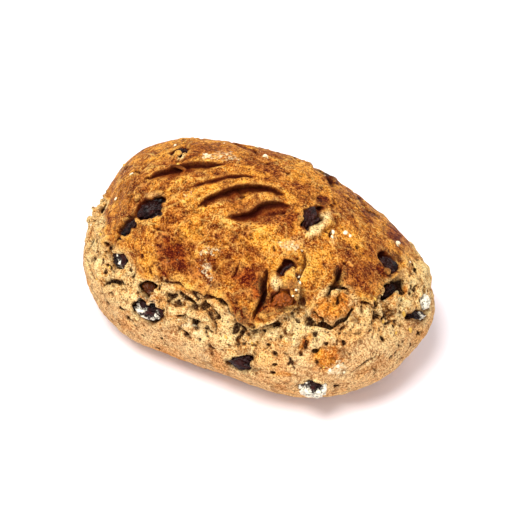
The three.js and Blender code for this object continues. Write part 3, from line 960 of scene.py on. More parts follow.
# Rough patches of torn crumb: pixel, half width and half height in pixels, turn, how many crumbs.
CRUMBLY_SEEN = [
    ((334, 306), (24, 13), 18, 90), ((276, 282), (6, 7), 0, 16), ((318, 226), (16, 8), 40, 50),
    ((98, 214), (6, 10), 20, 12), ((190, 308), (28, 10), 30, 70), ((240, 338), (38, 10), 0, 70),
    ((118, 290), (14, 10), 0, 30), ((395, 304), (9, 6), 0, 12), ((297, 290), (5, 14), 0, 16),
    ((100, 246), (8, 14), 0, 24), ((350, 332), (24, 10), 10, 40), ((375, 308), (8, 14), 0, 20),
    ((290, 335), (20, 12), 0, 30), ((155, 285), (16, 6), 20, 20),
]

# Pores: from and to this far under the crust's edge in mm, how many, smallest and largest size in mm.
PORES = [
    (1, 34, 2300, 0.9, 1.8),
    (16, 62, 400, 0.9, 1.4),
    (-75, -3, 220, 0.8, 1.4),
]

# Forms of the far side: between which azimuths, and how many of each.
HIDDEN_SPAN = (48, 172)
HIDDEN_LUMPS = 26
HIDDEN_CREASES = 20
HIDDEN_HOLES = 10
HIDDEN_RIDGES = 16

# Steps in mm along the way out of the surface, from outside inwards.
LINE_UP = np.arange(9, -8, -0.25)[:, None]
# The rim of torn dough round a raisin: its distance from the opening, height, thickness and crumbs.
RIM_APART = 1.2
RIM_HEIGHT = 0.1
RIM_RISE = 0.25
RIM_CRUMBS = 5
RIM_CRUMB_LIFT = 0.3
RIM_CRUMB_TOP = 1.5
SOCKET_GAP = 0.1
SOCKET_RAGGED = 1.2


def cut_socket(dough, raisin):
    """A ragged opening round a raisin, with a low torn rim."""
    reach = raisin.half.max() + 5
    cut = dough.window(raisin.middle - reach, raisin.middle + reach)
    grain = dough.grain[cut]
    egg = raisin.socket(dough.points(cut), SOCKET_GAP) + SOCKET_RAGGED * grain
    level = dough.first_met(raisin.middle + raisin.out * LINE_UP, raisin.axes[:, 2]).height
    height = dough.height[cut] - level
    rim = np.hypot(egg - RIM_APART, height - RIM_HEIGHT) - RIM_RISE * np.clip(0.75 + 0.6 * grain, 0, 1.3)
    dough.put_on(cut, rim, 0.5)
    dough.take_away(cut, egg, 0.25)
    # Painted shade on the socket's walls.
    dough.cut_floor_and_shade[cut] = np.maximum(dough.cut_floor_and_shade[cut], smooth_step(egg, 0.6, 0.0))
    # The raisin's own size is the seed of its crumbs.
    rng = np.random.default_rng(int(50 * raisin.half.sum()))
    for turn in rng.uniform(0, 2 * math.pi, RIM_CRUMBS):
        across, along = raisin.axes[:, 1:].T
        side = across * raisin.half[1] * math.cos(turn) + along * raisin.half[2] * math.sin(turn)
        place = dough.first_met(raisin.middle + side + raisin.out * LINE_UP, along)
        size = (rng.uniform(2.5, 5), rng.uniform(1.6, 2.6), rng.uniform(1.6, 2.6))
        lift = min(RIM_CRUMB_LIFT, RIM_CRUMB_TOP - place.height)
        dough.lump(place, size, rng.uniform(0, 180), lift, 0.5, 0.4)


def scatter(rng, count, low, high):
    """Azimuths all round the loaf and distances in mm under the crust's edge."""
    azimuth = rng.uniform(-180, 180, count)
    below = low + (high - low) * rng.beta(1.1, 1.9, count)
    return azimuth, below


def place_below_edge(dough, azimuth, below):
    """The place of the bread so many mm under the crust's edge."""
    edge = round_values(azimuth, dough.outline)
    reach = loaf_radius(direction(azimuth, edge))
    return dough.at(azimuth, edge - below / reach / DEGREE)


def make_crumbs(dough, rng):
    """Small crumbs and the holes between them, over the rough patches."""
    for (x, y), (wide, high), turn, count in CRUMBLY_SEEN:
        c, s = math.cos(turn * DEGREE), math.sin(turn * DEGREE)
        for index in range(count):
            reach, way = math.sqrt(rng.uniform()), rng.uniform(0, 2 * math.pi)
            u, v = wide * reach * math.cos(way), high * reach * math.sin(way)
            place = dough.seen(x + u * c + v * s, y - u * s + v * c)
            size = rng.uniform(1.2, 2.6) * np.array([1, rng.uniform(0.6, 1), rng.uniform(0.5, 0.9)])
            if index % 2:
                dough.lump(place, size, rng.uniform(0, 180), rng.uniform(-0.3, 0.2), 0.5, 0.35)
            else:
                dough.hollow(place, size, rng.uniform(0, 180), 0.4)


def make_pores(dough, rng):
    """Many small bubbles in the torn band, fewer in the wall, and a few pits in the crust."""
    for low, high, count, smallest, largest in PORES:
        for azimuth, below in zip(*scatter(rng, count, low, high)):
            place = place_below_edge(dough, azimuth, below)
            size = smallest + (largest - smallest) * rng.power(0.35)
            stretch = rng.uniform(1.0, 1.7)
            deep = size * rng.uniform(0.8, 1.6)
            dough.hollow(place, (size * stretch, size, deep), rng.uniform(-60, 30), 0.5)


def tear_hidden_sides(dough, rng):
    """Folds, strands, blisters and pits of the sides the photograph doesn't show."""
    for _ in range(HIDDEN_LUMPS):
        azimuth = rng.uniform(*HIDDEN_SPAN)
        place = place_below_edge(dough, azimuth, rng.uniform(2, 26))
        size = (rng.uniform(7, 20), rng.uniform(4, 9), rng.uniform(3, 6))
        dough.lump(place, size, rng.uniform(-35, 35), rng.uniform(-1.5, -0.2), rng.uniform(0.5, 1.0))
    for _ in range(HIDDEN_CREASES):
        azimuth = rng.uniform(*HIDDEN_SPAN)
        below = rng.uniform(0, 22)
        places = []
        for _ in range(4):
            places.append(place_below_edge(dough, azimuth, below))
            azimuth += rng.uniform(2, 6)
            below += rng.uniform(-4, 4)
        dough.crease(places, rng.uniform(1.4, 3.2), rng.uniform(2, 4.5), rng.uniform(-0.4, 0.4))
    for _ in range(HIDDEN_HOLES):
        azimuth = rng.uniform(*HIDDEN_SPAN)
        place = place_below_edge(dough, azimuth, rng.uniform(4, 20))
        size = (rng.uniform(4, 12), rng.uniform(3, 5), rng.uniform(4, 6))
        dough.hollow(place, size, rng.uniform(-40, 40))
    for _ in range(HIDDEN_RIDGES):
        place = dough.at(rng.uniform(30, 200), rng.uniform(35, 75))
        turn = rng.uniform(0, 180)
        along, _ = place.turned(turn)
        lines = [place.point + along * reach + place.out * LINE_UP for reach in (-5, 0, 6)]
        spots = [dough.first_met(line, along) for line in lines]
        dough.ridge(spots, rng.uniform(1.0, 1.8), 0.2)


def shape_bread(dough, raisins):
    """Every form of the bread: slashes, mounds, torn lumps, sockets, folds, holes and pores."""
    dough.raise_loaf()
    for pixel, size, turn, rise in SWELLS_SEEN:
        dough.swell(dough.seen(*pixel), size, turn, rise)
    for first, last, width, depth, bow, skew in SLASHES_SEEN:
        dough.slash(dough.seen(*first), dough.seen(*last), width, depth, bow, skew, 1)
    for first, last, width, depth, bow, skew in SLASHES_FAR:
        dough.slash(dough.at(*first), dough.at(*last), width, depth, bow, skew, -1)
    for pixel, size, turn in CAVITIES_SEEN:
        dough.hollow(dough.seen(*pixel), size, turn)
    for pixel, size, turn, lift, rough in LUMPS_SEEN:
        dough.lump(dough.seen(*pixel), size, turn, lift, rough)
    for width, lift, pixels in RIDGES_SEEN:
        dough.ridge([dough.seen(*pixel) for pixel in pixels], width, lift)
    tear_hidden_sides(dough, np.random.default_rng(HIDDEN_SEED))
    for width, depth, lean, pixels in CREASES_SEEN:
        dough.crease([dough.seen(*pixel) for pixel in pixels], width, depth, lean)
    for pixel, size, turn in HOLES_SEEN:
        dough.hollow(dough.seen(*pixel), size, turn)
    make_pores(dough, np.random.default_rng(PORE_SEED))
    make_crumbs(dough, np.random.default_rng(CRUMB_SEED))
    for raisin in raisins:
        cut_socket(dough, raisin)
    for pixel, size, turn, lift, rough in FLAPS_SEEN:
        dough.lump(dough.seen(*pixel), size, turn, lift, rough, 0.5)
    dough.flatten_base()


# ======================================================================== the bread's colour marks

# Marks on the photograph: pixel, half width and half height in pixels, turn, strength.
TOAST_SEEN = [
    ((174, 256), (24, 28), 20, 1.0), ((245, 276), (21, 14), -15, 1.0), ((283, 216), (32, 11), 0, 0.8),
    ((300, 200), (8, 12), -40, 0.6), ((323, 203), (9, 9), -40, 1.0), ((216, 236), (9, 4), -20, 0.8),
    ((106, 214), (5, 16), 25, 0.8), ((126, 185), (8, 5), 30, 0.6), ((359, 278), (30, 22), 0, 0.7),
    ((278, 300), (18, 18), 0, 0.9), ((396, 236), (17, 11), -50, 0.9), ((366, 217), (12, 9), -40, 0.8),
    ((262, 168), (9, 7), 0, 0.6), ((238, 316), (15, 14), 0, 0.9), ((262, 300), (12, 24), 10, 1.0),
    ((340, 268), (7, 12), 10, 0.8), ((332, 178), (10, 8), -40, 0.9), ((212, 280), (16, 10), 0, 0.5),
    ((388, 266), (14, 16), 0, 1.0), ((232, 302), (12, 14), 0, 0.7), ((300, 190), (18, 12), -30, 0.5),
    ((130, 205), (16, 20), 30, 0.45), ((212, 150), (30, 6), 5, 0.4), ((190, 270), (20, 14), -20, 0.7),
    ((340, 205), (14, 10), -35, 0.5), ((376, 250), (14, 16), -40, 0.5), ((180, 170), (30, 6), -12, 0.4),
    ((262, 208), (22, 6), 0, 0.5), ((250, 295), (10, 10), 0, 0.6), ((170, 175), (16, 6), 18, 0.5),
    ((284, 232), (10, 6), -30, 0.5), ((345, 255), (14, 8), 0, 0.4), ((120, 225), (6, 14), -30, 0.5),
    ((166, 240), (10, 10), 0, 1.0), ((172, 262), (14, 16), 0, 0.8), ((291, 286), (9, 10), 0, 0.9),
    ((160, 195), (30, 8), 10, 0.4), ((140, 180), (14, 12), 30, 0.4), ((240, 160), (40, 6), 5, 0.3),
]
# Nearly black marks: burnt crust, and painted shade in creases, holes and under the crust's lips.
CHAR_AND_SHADE_SEEN = [
    ((263, 292), (4, 24), 8, 0.8), ((338, 278), (4, 15), 8, 0.9), ((126, 225), (5, 14), -35, 0.7),
    ((395, 286), (12, 8), 30, 0.9), ((320, 202), (5, 4), -40, 0.6), ((325, 172), (13, 4), -35, 0.9),
    ((303, 296), (4, 9), 10, 0.7), ((331, 182), (3, 8), 20, 0.8), ((287, 309), (14, 3), 0, 0.7),
    ((306, 317), (5, 5), 0, 0.5), ((252, 328), (6, 4), 0, 0.5), ((115, 283), (12, 3), 0, 0.4),
    ((392, 262), (11, 11), 0, 0.6), ((371, 214), (8, 3), -30, 0.5), ((328, 295), (4, 5), 30, 0.6),
]
GOLD_SEEN = [
    ((306, 268), (20, 24), 0, 1.0), ((264, 240), (16, 18), 0, 0.8), ((186, 288), (12, 8), 0, 0.8),
    ((150, 258), (13, 24), 0, 0.6), ((325, 358), (20, 16), 30, 1.0), ((306, 343), (6, 12), -35, 0.9),
    ((283, 374), (12, 3), 0, 0.8), ((336, 306), (28, 14), 18, 1.0), ((334, 352), (6, 8), -40, 1.0),
    ((220, 300), (14, 8), -10, 0.6), ((364, 300), (8, 12), 0, 0.6), ((175, 358), (44, 5), -27, 0.5),
    ((88, 284), (4, 8), 0, 0.6), ((200, 195), (26, 12), 15, 0.5), ((300, 165), (18, 6), -25, 0.5),
    ((350, 240), (22, 10), -20, 0.5), ((392, 296), (8, 4), 20, 0.9), ((404, 291), (5, 8), 0, 0.9),
]
FLOUR_SEEN = [
    ((206, 156), (4, 3), 0, 0.9), ((224, 155), (18, 6), 0, 0.5), ((345, 234), (6, 3), 0, 0.9),
    ((333, 234), (3, 5), 0, 0.8), ((214, 251), (14, 10), 20, 0.5), ((207, 266), (9, 18), 10, 0.5),
    ((292, 247), (15, 7), -15, 0.5), ((336, 370), (13, 9), 20, 0.6), ((427, 300), (7, 9), 0, 0.6),
    ((194, 328), (16, 8), -30, 0.6), ((265, 156), (4, 3), 0, 0.7), ((398, 243), (3, 3), 0, 0.8),
    ((125, 170), (8, 5), 40, 0.4), ((187, 197), (10, 5), 30, 0.4), ((148, 304), (16, 10), -20, 0.5),
    ((118, 312), (10, 8), -30, 0.3), ((130, 255), (8, 8), 0, 0.3), ((299, 278), (5, 12), 0, 0.4),
    ((182, 302), (6, 6), 0, 0.3), ((205, 355), (12, 5), -25, 0.3), ((312, 390), (14, 8), 0, 0.4),
]
# Pale torn dough inside the crust.
TORN_SEEN = [
    ((317, 227), (17, 7), 40, 1.0), ((328, 215), (8, 5), 0, 1.0), ((154, 195), (11, 3), 5, 0.8),
    ((181, 157), (6, 3), 30, 0.9), ((276, 282), (7, 8), 0, 1.0), ((98, 215), (8, 14), 20, 1.0),
    ((391, 304), (11, 6), 10, 1.0), ((294, 244), (14, 6), 25, 0.5), ((334, 240), (4, 7), 0, 0.6),
    ((336, 310), (24, 10), 18, 0.35), ((299, 290), (4, 13), 0, 0.5), ((151, 213), (8, 2), 40, 0.6),
]

# How far from the surface the dough still counts, and the reaches of painted hollow shade and ridge
# highlight, in mm.
DIP_LIMIT = 6
FINE_BLUR = 1.2
BROAD_BLUR = 3.2


class BreadMarks:
    """Values at the bread's points that the material turns into colour."""

    def __init__(self, dough, points):
        self.points = points
        self.x, self.y, self.facing = photo_pixels(points)
        self.edge = dough.read(dough.edge, points)
        self.softness = dough.read(dough.softness, points)
        self.broad = bumps(points, *MARK_BROAD)
        self.middle = bumps(points, *MARK_MIDDLE)
        self.small = bumps(points, *MARK_SMALL)
        self.shown = smooth_step(self.facing, 0.0, 0.12)

    def spots(self, table, ragged=0.5):
        """Ragged spots at the marks of a table, on the side that the photograph shows."""
        noise = 0.6 * self.middle + 0.7 * self.small
        cover = np.zeros(len(self.x))
        for (x, y), (wide, high), turn, strength in table:
            c, s = math.cos(turn * DEGREE), math.sin(turn * DEGREE)
            along = ((self.x - x) * c - (self.y - y) * s) / wide
            across = ((self.x - x) * s + (self.y - y) * c) / high
            reach = np.hypot(along, across) + ragged * noise
            cover = np.maximum(cover, strength * (1 - smooth_step(reach, 0.35, 1.15)))
        return cover * self.shown

    def crust(self):
        """Baked skin above the edge, without the torn dough."""
        ragged = (1.2 * self.middle + 0.9 * self.small) * (0.6 + 0.4 * self.softness)
        cover = smooth_step(self.edge + ragged, -self.softness, self.softness)
        return cover * (1 - self.spots(TORN_SEEN, 0.3))

    def toast(self):
        """Darker brown patches, as seen and, on the far side, by chance."""
        hidden = smooth_step(self.broad + 0.6 * self.middle, 0.15, 0.75) * (1 - self.shown)
        loose = 0.6 * smooth_step(0.7 * self.broad + 0.7 * self.middle + 0.4 * self.small, -0.1, 0.7)
        loose *= 1 - 0.8 * self.spots(GOLD_SEEN)
        return np.maximum(np.maximum(self.spots(TOAST_SEEN), 0.9 * hidden), loose)

    def gold(self):
        """Golden patches."""
        loose = smooth_step(bumps(self.points, *GOLD_BUMPS) + 0.5 * self.middle, 0.2, 0.8)
        return np.maximum(self.spots(GOLD_SEEN), 0.4 * loose)

    def char(self):
        """Nearly black spots: burnt crust, and painted shade in creases, holes and under the crust's lips.
        """
        return self.spots(CHAR_AND_SHADE_SEEN, 0.35)

    def flour(self):
        """Dusted patches, as seen and, on the far side, by chance."""
        loose = smooth_step(bumps(self.points, *FLOUR_BUMPS) + 0.4 * self.small, 0.45, 0.9)
        hidden = loose * (1 - self.shown)
        return np.maximum(self.spots(FLOUR_SEEN, 0.7), 0.6 * hidden)

    def wall(self):
        """Where the torn crumb has given way to the smoother skin of the side."""
        return smooth_step(-self.edge + 4 * self.middle + 3 * self.broad, 14, 34)


def blurred(field, radius):
    """The field averaged over boxes, passed twice along each axis."""
    size = max(int(round(radius / VOXEL)), 1)
    for _ in range(2):
        for axis in range(3):
            padding = [(0, 0)] * 3
            padding[axis] = (size + 1, size)
            total = np.cumsum(np.pad(field, padding, mode="edge"), axis=axis, dtype=np.float32)
            length = field.shape[axis]
            high = np.take(total, np.arange(2 * size + 1, 2 * size + 1 + length), axis)
            low = np.take(total, np.arange(0, length), axis)
            field = (high - low) / (2 * size + 1)
    return field


def mark_bread(bread, dough):
    """Paints every mark that the bread's material reads, with painted shade in hollows and painted
    highlights on ridges from the relief.
    """
    points = mesh_points(bread)
    marks = BreadMarks(dough, points)
    paint(bread, "crust", marks.crust())
    paint(bread, "toast", marks.toast())
    paint(bread, "gold", marks.gold())
    paint(bread, "char", marks.char())
    paint(bread, "flour", marks.flour())
    paint(bread, "wall", marks.wall())
    limited = np.clip(dough.field, -DIP_LIMIT, DIP_LIMIT)
    fine = dough.read(blurred(limited, FINE_BLUR), points)
    broad = dough.read(blurred(limited, BROAD_BLUR), points)
    # Painted shade: darker where the relief is hollow, in pores, creases and under overhangs.
    paint(bread, "hollow_shade", -fine * 1.6 - broad * 0.55)
    # Painted highlight: paler where the relief is convex, on lips and ridges.
    paint(bread, "ridge", fine * 2.2 - 0.12)
    # Brown of the slash floors, and painted shade under their lips and in the raisin sockets.
    paint(bread, "cut_floor_and_shade", dough.read(dough.cut_floor_and_shade, points))


# ======================================================================== materials

def shade(red, green, blue):
    """A colour from its 0 to 255 values on screen."""
    values = [value / 255 for value in (red, green, blue)]
    return tuple(v / 12.92 if v <= 0.04045 else ((v + 0.055) / 1.055) ** 2.4 for v in values) + (1.0,)


class Nodes:
    """Places and joins shader nodes."""

    def __init__(self, tree):
        self.tree = tree

    def add(self, kind, inputs=None, **settings):
        """A new node, with its inputs by name or number and its settings."""
        node = self.tree.nodes.new(kind)
        for name, value in settings.items():
            setattr(node, name, value)
        for key, value in (inputs or {}).items():
            self.feed(node.inputs[key], value)
        return node

    def feed(self, socket, value):
        """Joins a socket to another one, or gives it a plain value."""
        if isinstance(value, bpy.types.NodeSocket):
            self.tree.links.new(value, socket)
        else:
            socket.default_value = value

    def math(self, operation, a, b=0.0, clamp=False):
        """The result of one sum."""
        node = self.add("ShaderNodeMath", {0: a, 1: b}, operation=operation, use_clamp=clamp)
        return node.outputs[0]

    def ramp(self, value, low, high, to_low=0.0, to_high=1.0):
        """A value carried from one range to another and kept inside it."""
        inputs = {"Value": value, "From Min": low, "From Max": high, "To Min": to_low, "To Max": to_high}
        return self.add("ShaderNodeMapRange", inputs).outputs["Result"]

    def mix(self, factor, first, second):
        """A colour between two others."""
        node = self.add("ShaderNodeMix", data_type="RGBA")
        for name, value in (("Factor_Float", factor), ("A_Color", first), ("B_Color", second)):
            self.feed(next(item for item in node.inputs if item.identifier == name), value)
        return next(item for item in node.outputs if item.identifier == "Result_Color")

    def lay(self, colour, over, mask, share):
        """A colour with another laid over it where the mask is, by the given share."""
        return self.mix(self.math("MULTIPLY", mask, share), colour, over)

    def group(self, tree, **inputs):
        """The output of a node group, with its inputs by name."""
        node = self.add("ShaderNodeGroup")
        node.node_tree = tree
        for name, value in inputs.items():
            self.feed(node.inputs[name.replace("_", " ")], value)
        return node.outputs[0]

    def mark(self, name):
        """A value that is painted on the mesh."""
        return self.add("ShaderNodeAttribute", attribute_name=name).outputs["Fac"]


def new_group(name, inputs, output):
    """A node group with named inputs and one output: its nodes, its two ends and the object's place."""
    tree = bpy.data.node_groups.new(name, "ShaderNodeTree")
    for socket, kind, value in inputs:
        made = tree.interface.new_socket(socket, in_out="INPUT", socket_type=kind)
        if value is not None:
            made.default_value = value
    tree.interface.new_socket(output[0], in_out="OUTPUT", socket_type=output[1])
    start, end = tree.nodes.new("NodeGroupInput"), tree.nodes.new("NodeGroupOutput")
    nodes = Nodes(tree)
    return nodes, start.outputs, end.inputs, nodes.add("ShaderNodeTexCoord").outputs["Object"]


def speckle_group():
    """Grainy value of 0 to 1: noise with its contrast raised."""
    inputs = [
        ("Scale", "NodeSocketFloat", 100.0), ("Detail", "NodeSocketFloat", 3.0),
        ("Contrast", "NodeSocketFloat", 1.0), ("Roughness", "NodeSocketFloat", 0.6),
    ]
    nodes, start, end, place = new_group("Fine speckle", inputs, ("Value", "NodeSocketFloat"))
    noise = nodes.add("ShaderNodeTexNoise", {
        "Vector": place, "Scale": start["Scale"], "Detail": start["Detail"],
        "Roughness": start["Roughness"],
    }).outputs["Fac"]
    swing = nodes.math("SUBTRACT", noise, 0.5)
    raised = nodes.math("MULTIPLY", swing, start["Contrast"])
    result = nodes.math("ADD", raised, 0.5, clamp=True)
    nodes.feed(end[0], result)
    return nodes.tree


def veins_group():
    """Thin wandering lines, 1 in their middle, that show only in patches."""
    inputs = [("Scale", "NodeSocketFloat", 100.0), ("Width", "NodeSocketFloat", 0.03)]
    nodes, start, end, place = new_group("Fine veins", inputs, ("Value", "NodeSocketFloat"))
    noise = nodes.add("ShaderNodeTexNoise", {
        "Vector": place, "Scale": start["Scale"], "Detail": 2.0, "Roughness": 0.45,
        "Distortion": 0.5,
    }).outputs["Fac"]
    swing = nodes.math("ABSOLUTE", nodes.math("SUBTRACT", noise, 0.5))
    line = nodes.ramp(nodes.math("DIVIDE", swing, start["Width"]), 1.0, 0.2)
    wide = nodes.math("MULTIPLY", start["Scale"], 0.6)
    clouds = nodes.add("ShaderNodeTexNoise", {"Vector": place, "Scale": wide, "Detail": 1.0})
    parts = nodes.add("ShaderNodeSeparateColor", {"Color": clouds.outputs["Color"]})
    patches = nodes.ramp(parts.outputs[1], 0.47, 0.56)
    nodes.feed(end[0], nodes.math("MULTIPLY", line, patches))
    return nodes.tree


def flour_group():
    """Lays white flour on a colour where the mask and a clumpy noise allow it."""
    inputs = [
        ("Color", "NodeSocketColor", None), ("Mask", "NodeSocketFloat", 0.0),
        ("Flour color", "NodeSocketColor", FLOUR_WHITE),
        ("Clump scale", "NodeSocketFloat", 700.0), ("Amount", "NodeSocketFloat", 1.0),
    ]
    nodes, start, end, place = new_group("Flour dust", inputs, ("Color", "NodeSocketColor"))
    clumps = nodes.add("ShaderNodeTexNoise", {
        "Vector": place, "Scale": start["Clump scale"], "Detail": 4.0, "Roughness": 0.7,
    }).outputs["Fac"]
    clumps = nodes.ramp(clumps, 0.25, 0.75, 0.0, 1.0)
    total = nodes.math("ADD", nodes.math("MULTIPLY", start["Mask"], 0.85), clumps)
    cover = nodes.ramp(total, 0.85, 1.25)
    cover = nodes.math("MULTIPLY", cover, start["Amount"], clamp=True)
    result = nodes.mix(cover, start["Color"], start["Flour color"])
    nodes.feed(end[0], result)
    return nodes.tree


def pits_group():
    """Small round pits: 1 in the middle of each, 0 between them."""
    inputs = [("Scale", "NodeSocketFloat", 500.0), ("Width", "NodeSocketFloat", 0.3)]
    nodes, start, end, place = new_group("Fine pits", inputs, ("Value", "NodeSocketFloat"))
    cells = nodes.add("ShaderNodeTexVoronoi", {"Vector": place, "Scale": start["Scale"]})
    parts = nodes.add("ShaderNodeSeparateColor", {"Color": cells.outputs["Color"]})
    wide = nodes.ramp(parts.outputs[0], 0.25, 1.0)
    reach = nodes.math("MULTIPLY", wide, start["Width"])
    apart = nodes.math("SUBTRACT", reach, cells.outputs["Distance"])
    result = nodes.ramp(apart, 0.0, 0.12)
    nodes.feed(end[0], result)
    return nodes.tree


FLOUR_WHITE = shade(244, 236, 214)
FLOUR_CREAM = shade(255, 238, 192)
CRUST_GOLD = shade(252, 184, 76)
CRUST_BROWN = shade(186, 96, 26)
CRUST_TOAST = shade(112, 31, 8)
CRUST_AMBER = shade(230, 146, 74)
CRUST_DARK = shade(78, 25, 6)
CHAR_AND_SHADE_BLACK = shade(32, 11, 6)
CUT_BROWN = shade(132, 60, 16)
CRUST_PALE = shade(255, 222, 144)
CRUMB_CREAM = shade(255, 237, 188)
CRUMB_TAN = shade(228, 168, 94)
CRUMB_YELLOW = shade(234, 180, 84)
CRUMB_ROSE = shade(234, 194, 152)
CRUMB_SHADE = shade(146, 92, 44)
# Painted shade of pores, hollows and sockets in the crumb.
PORE_SHADE = shade(76, 37, 15)
GRAIN_YELLOW = shade(238, 196, 84)
GRAIN_TAN = shade(206, 150, 60)
RAISIN_BLACK = shade(11, 5, 5)
RAISIN_MAROON = shade(72, 21, 12)
RAISIN_SYRUP = shade(120, 52, 12)
RAISIN_AMBER = shade(204, 110, 34)
RAISIN_FOLD_SHADE = shade(6, 3, 4)
# Gammas that deepen the bread's colours.
CRUST_DEPTH = 1.36
CRUMB_DEPTH = 1.4
# Specular levels.
BREAD_GLOSS = 0.06
RAISIN_GLOSS = 0.15


def finish_material(nodes, colour, roughness, height, strength, distance):
    """Ends a material with a bumped surface."""
    bump = nodes.add("ShaderNodeBump", {"Strength": strength, "Distance": distance, "Height": height})
    shader = nodes.add("ShaderNodeBsdfPrincipled", {
        "Base Color": colour, "Roughness": roughness, "Normal": bump.outputs[0],
    })
    output = nodes.add("ShaderNodeOutputMaterial")
    nodes.tree.links.new(shader.outputs[0], output.inputs["Surface"])
    return shader


def new_material(name):
    """An empty material and its nodes."""
    material = bpy.data.materials.new(name)
    material.use_nodes = True
    material.node_tree.nodes.clear()
    return material, Nodes(material.node_tree)


def bread_material(speckle, flour, pits, veins):
    """Pale porous crumb under a mottled, toasted crust."""
    material, nodes = new_material("bread_crust")
    crust, char, dust = nodes.mark("crust"), nodes.mark("char"), nodes.mark("flour")
    sand = nodes.group(speckle, Scale=1150.0, Detail=2.0, Contrast=3.4, Roughness=0.7)
    grain = nodes.group(speckle, Scale=380.0, Detail=4.0, Contrast=3.4, Roughness=0.7)
    mottle = nodes.group(speckle, Scale=110.0, Detail=5.0, Contrast=3.4, Roughness=0.62)
    pores = nodes.group(pits, Scale=700.0, Width=0.45)
    lines = nodes.group(veins, Scale=75.0, Width=0.028)
    cracks = nodes.group(veins, Scale=118.0, Width=0.03)
    baked = baked_colour(nodes, sand, grain, mottle, lines, cracks)
    crumb = crumb_colour(nodes, sand, grain, mottle, pores, lines)
    colour = nodes.mix(crust, crumb, baked)
    # Burnt crust, and painted shade in creases and holes.
    colour = nodes.lay(colour, CHAR_AND_SHADE_BLACK, char, 0.9)
    colour = nodes.group(
        flour, Color=colour, Mask=dust, Flour_color=FLOUR_CREAM, Clump_scale=620.0, Amount=0.95,
    )
    roughness = nodes.ramp(crust, 0.0, 1.0, 0.86, 0.55)
    height = nodes.math("ADD", nodes.math("MULTIPLY", sand, 0.4), nodes.math("MULTIPLY", grain, 0.8))
    height = nodes.math("SUBTRACT", height, nodes.math("MULTIPLY", pores, 0.7))
    height = nodes.math("ADD", height, nodes.math("MULTIPLY", lines, 0.5))
    shader = finish_material(nodes, colour, roughness, height, 0.9, 0.0008)
    shader.inputs["Specular IOR Level"].default_value = BREAD_GLOSS
    return material


def baked_colour(nodes, sand, grain, mottle, lines, cracks):
    """Crust: brown and gold, toasted in patches, with painted shade in its pits and painted highlights on
    its ridges.
    """
    gold, toast, cut_floor_and_shade = nodes.mark("gold"), nodes.mark("toast"), nodes.mark("cut_floor_and_shade")
    hollow_shade, ridge = nodes.mark("hollow_shade"), nodes.mark("ridge")
    colour = nodes.mix(mottle, CRUST_BROWN, CRUST_GOLD)
    colour = nodes.lay(colour, CRUST_GOLD, gold, 0.85)
    uneven = nodes.math("ADD", toast, nodes.ramp(grain, 0.0, 1.0, 0.34, -0.26), clamp=True)
    colour = nodes.mix(uneven, colour, CRUST_TOAST)
    colour = nodes.mix(nodes.ramp(mottle, 0.4, 0.0, 0.0, 0.4), colour, CRUST_DARK)
    light = nodes.mix(toast, CRUST_PALE, CRUST_AMBER)
    bright = nodes.ramp(toast, 0.0, 1.0, 1.0, 0.8)
    light_grain = nodes.math("MULTIPLY", nodes.ramp(grain, 0.55, 1.0, 0.0, 0.45), bright)
    light_sand = nodes.math("MULTIPLY", nodes.ramp(sand, 0.55, 1.0, 0.0, 0.6), bright)
    # Painted highlight on the crust's ridges.
    colour = nodes.lay(colour, CRUST_PALE, ridge, 0.4)
    colour = nodes.mix(light_grain, colour, light)
    colour = nodes.mix(nodes.ramp(grain, 0.4, 0.0, 0.0, 0.5), colour, CRUST_DARK)
    colour = nodes.lay(colour, CRUST_DARK, cracks, 0.45)
    colour = nodes.lay(colour, light, lines, 0.6)
    colour = nodes.mix(light_sand, colour, light)
    colour = nodes.mix(nodes.ramp(sand, 0.45, 0.0, 0.0, 0.6), colour, CRUST_DARK)
    # Brown of the slash floors, then painted shade under their lips and in the sockets.
    colour = nodes.mix(nodes.ramp(cut_floor_and_shade, 0.05, 0.5, 0.0, 0.65), colour, CUT_BROWN)
    colour = nodes.mix(nodes.ramp(cut_floor_and_shade, 0.55, 1.0, 0.0, 0.8), colour, CRUST_DARK)
    # Painted shade in the crust's hollows.
    colour = nodes.lay(colour, CRUST_DARK, hollow_shade, 0.85)
    return nodes.add("ShaderNodeGamma", {"Color": colour, "Gamma": CRUST_DEPTH}).outputs[0]


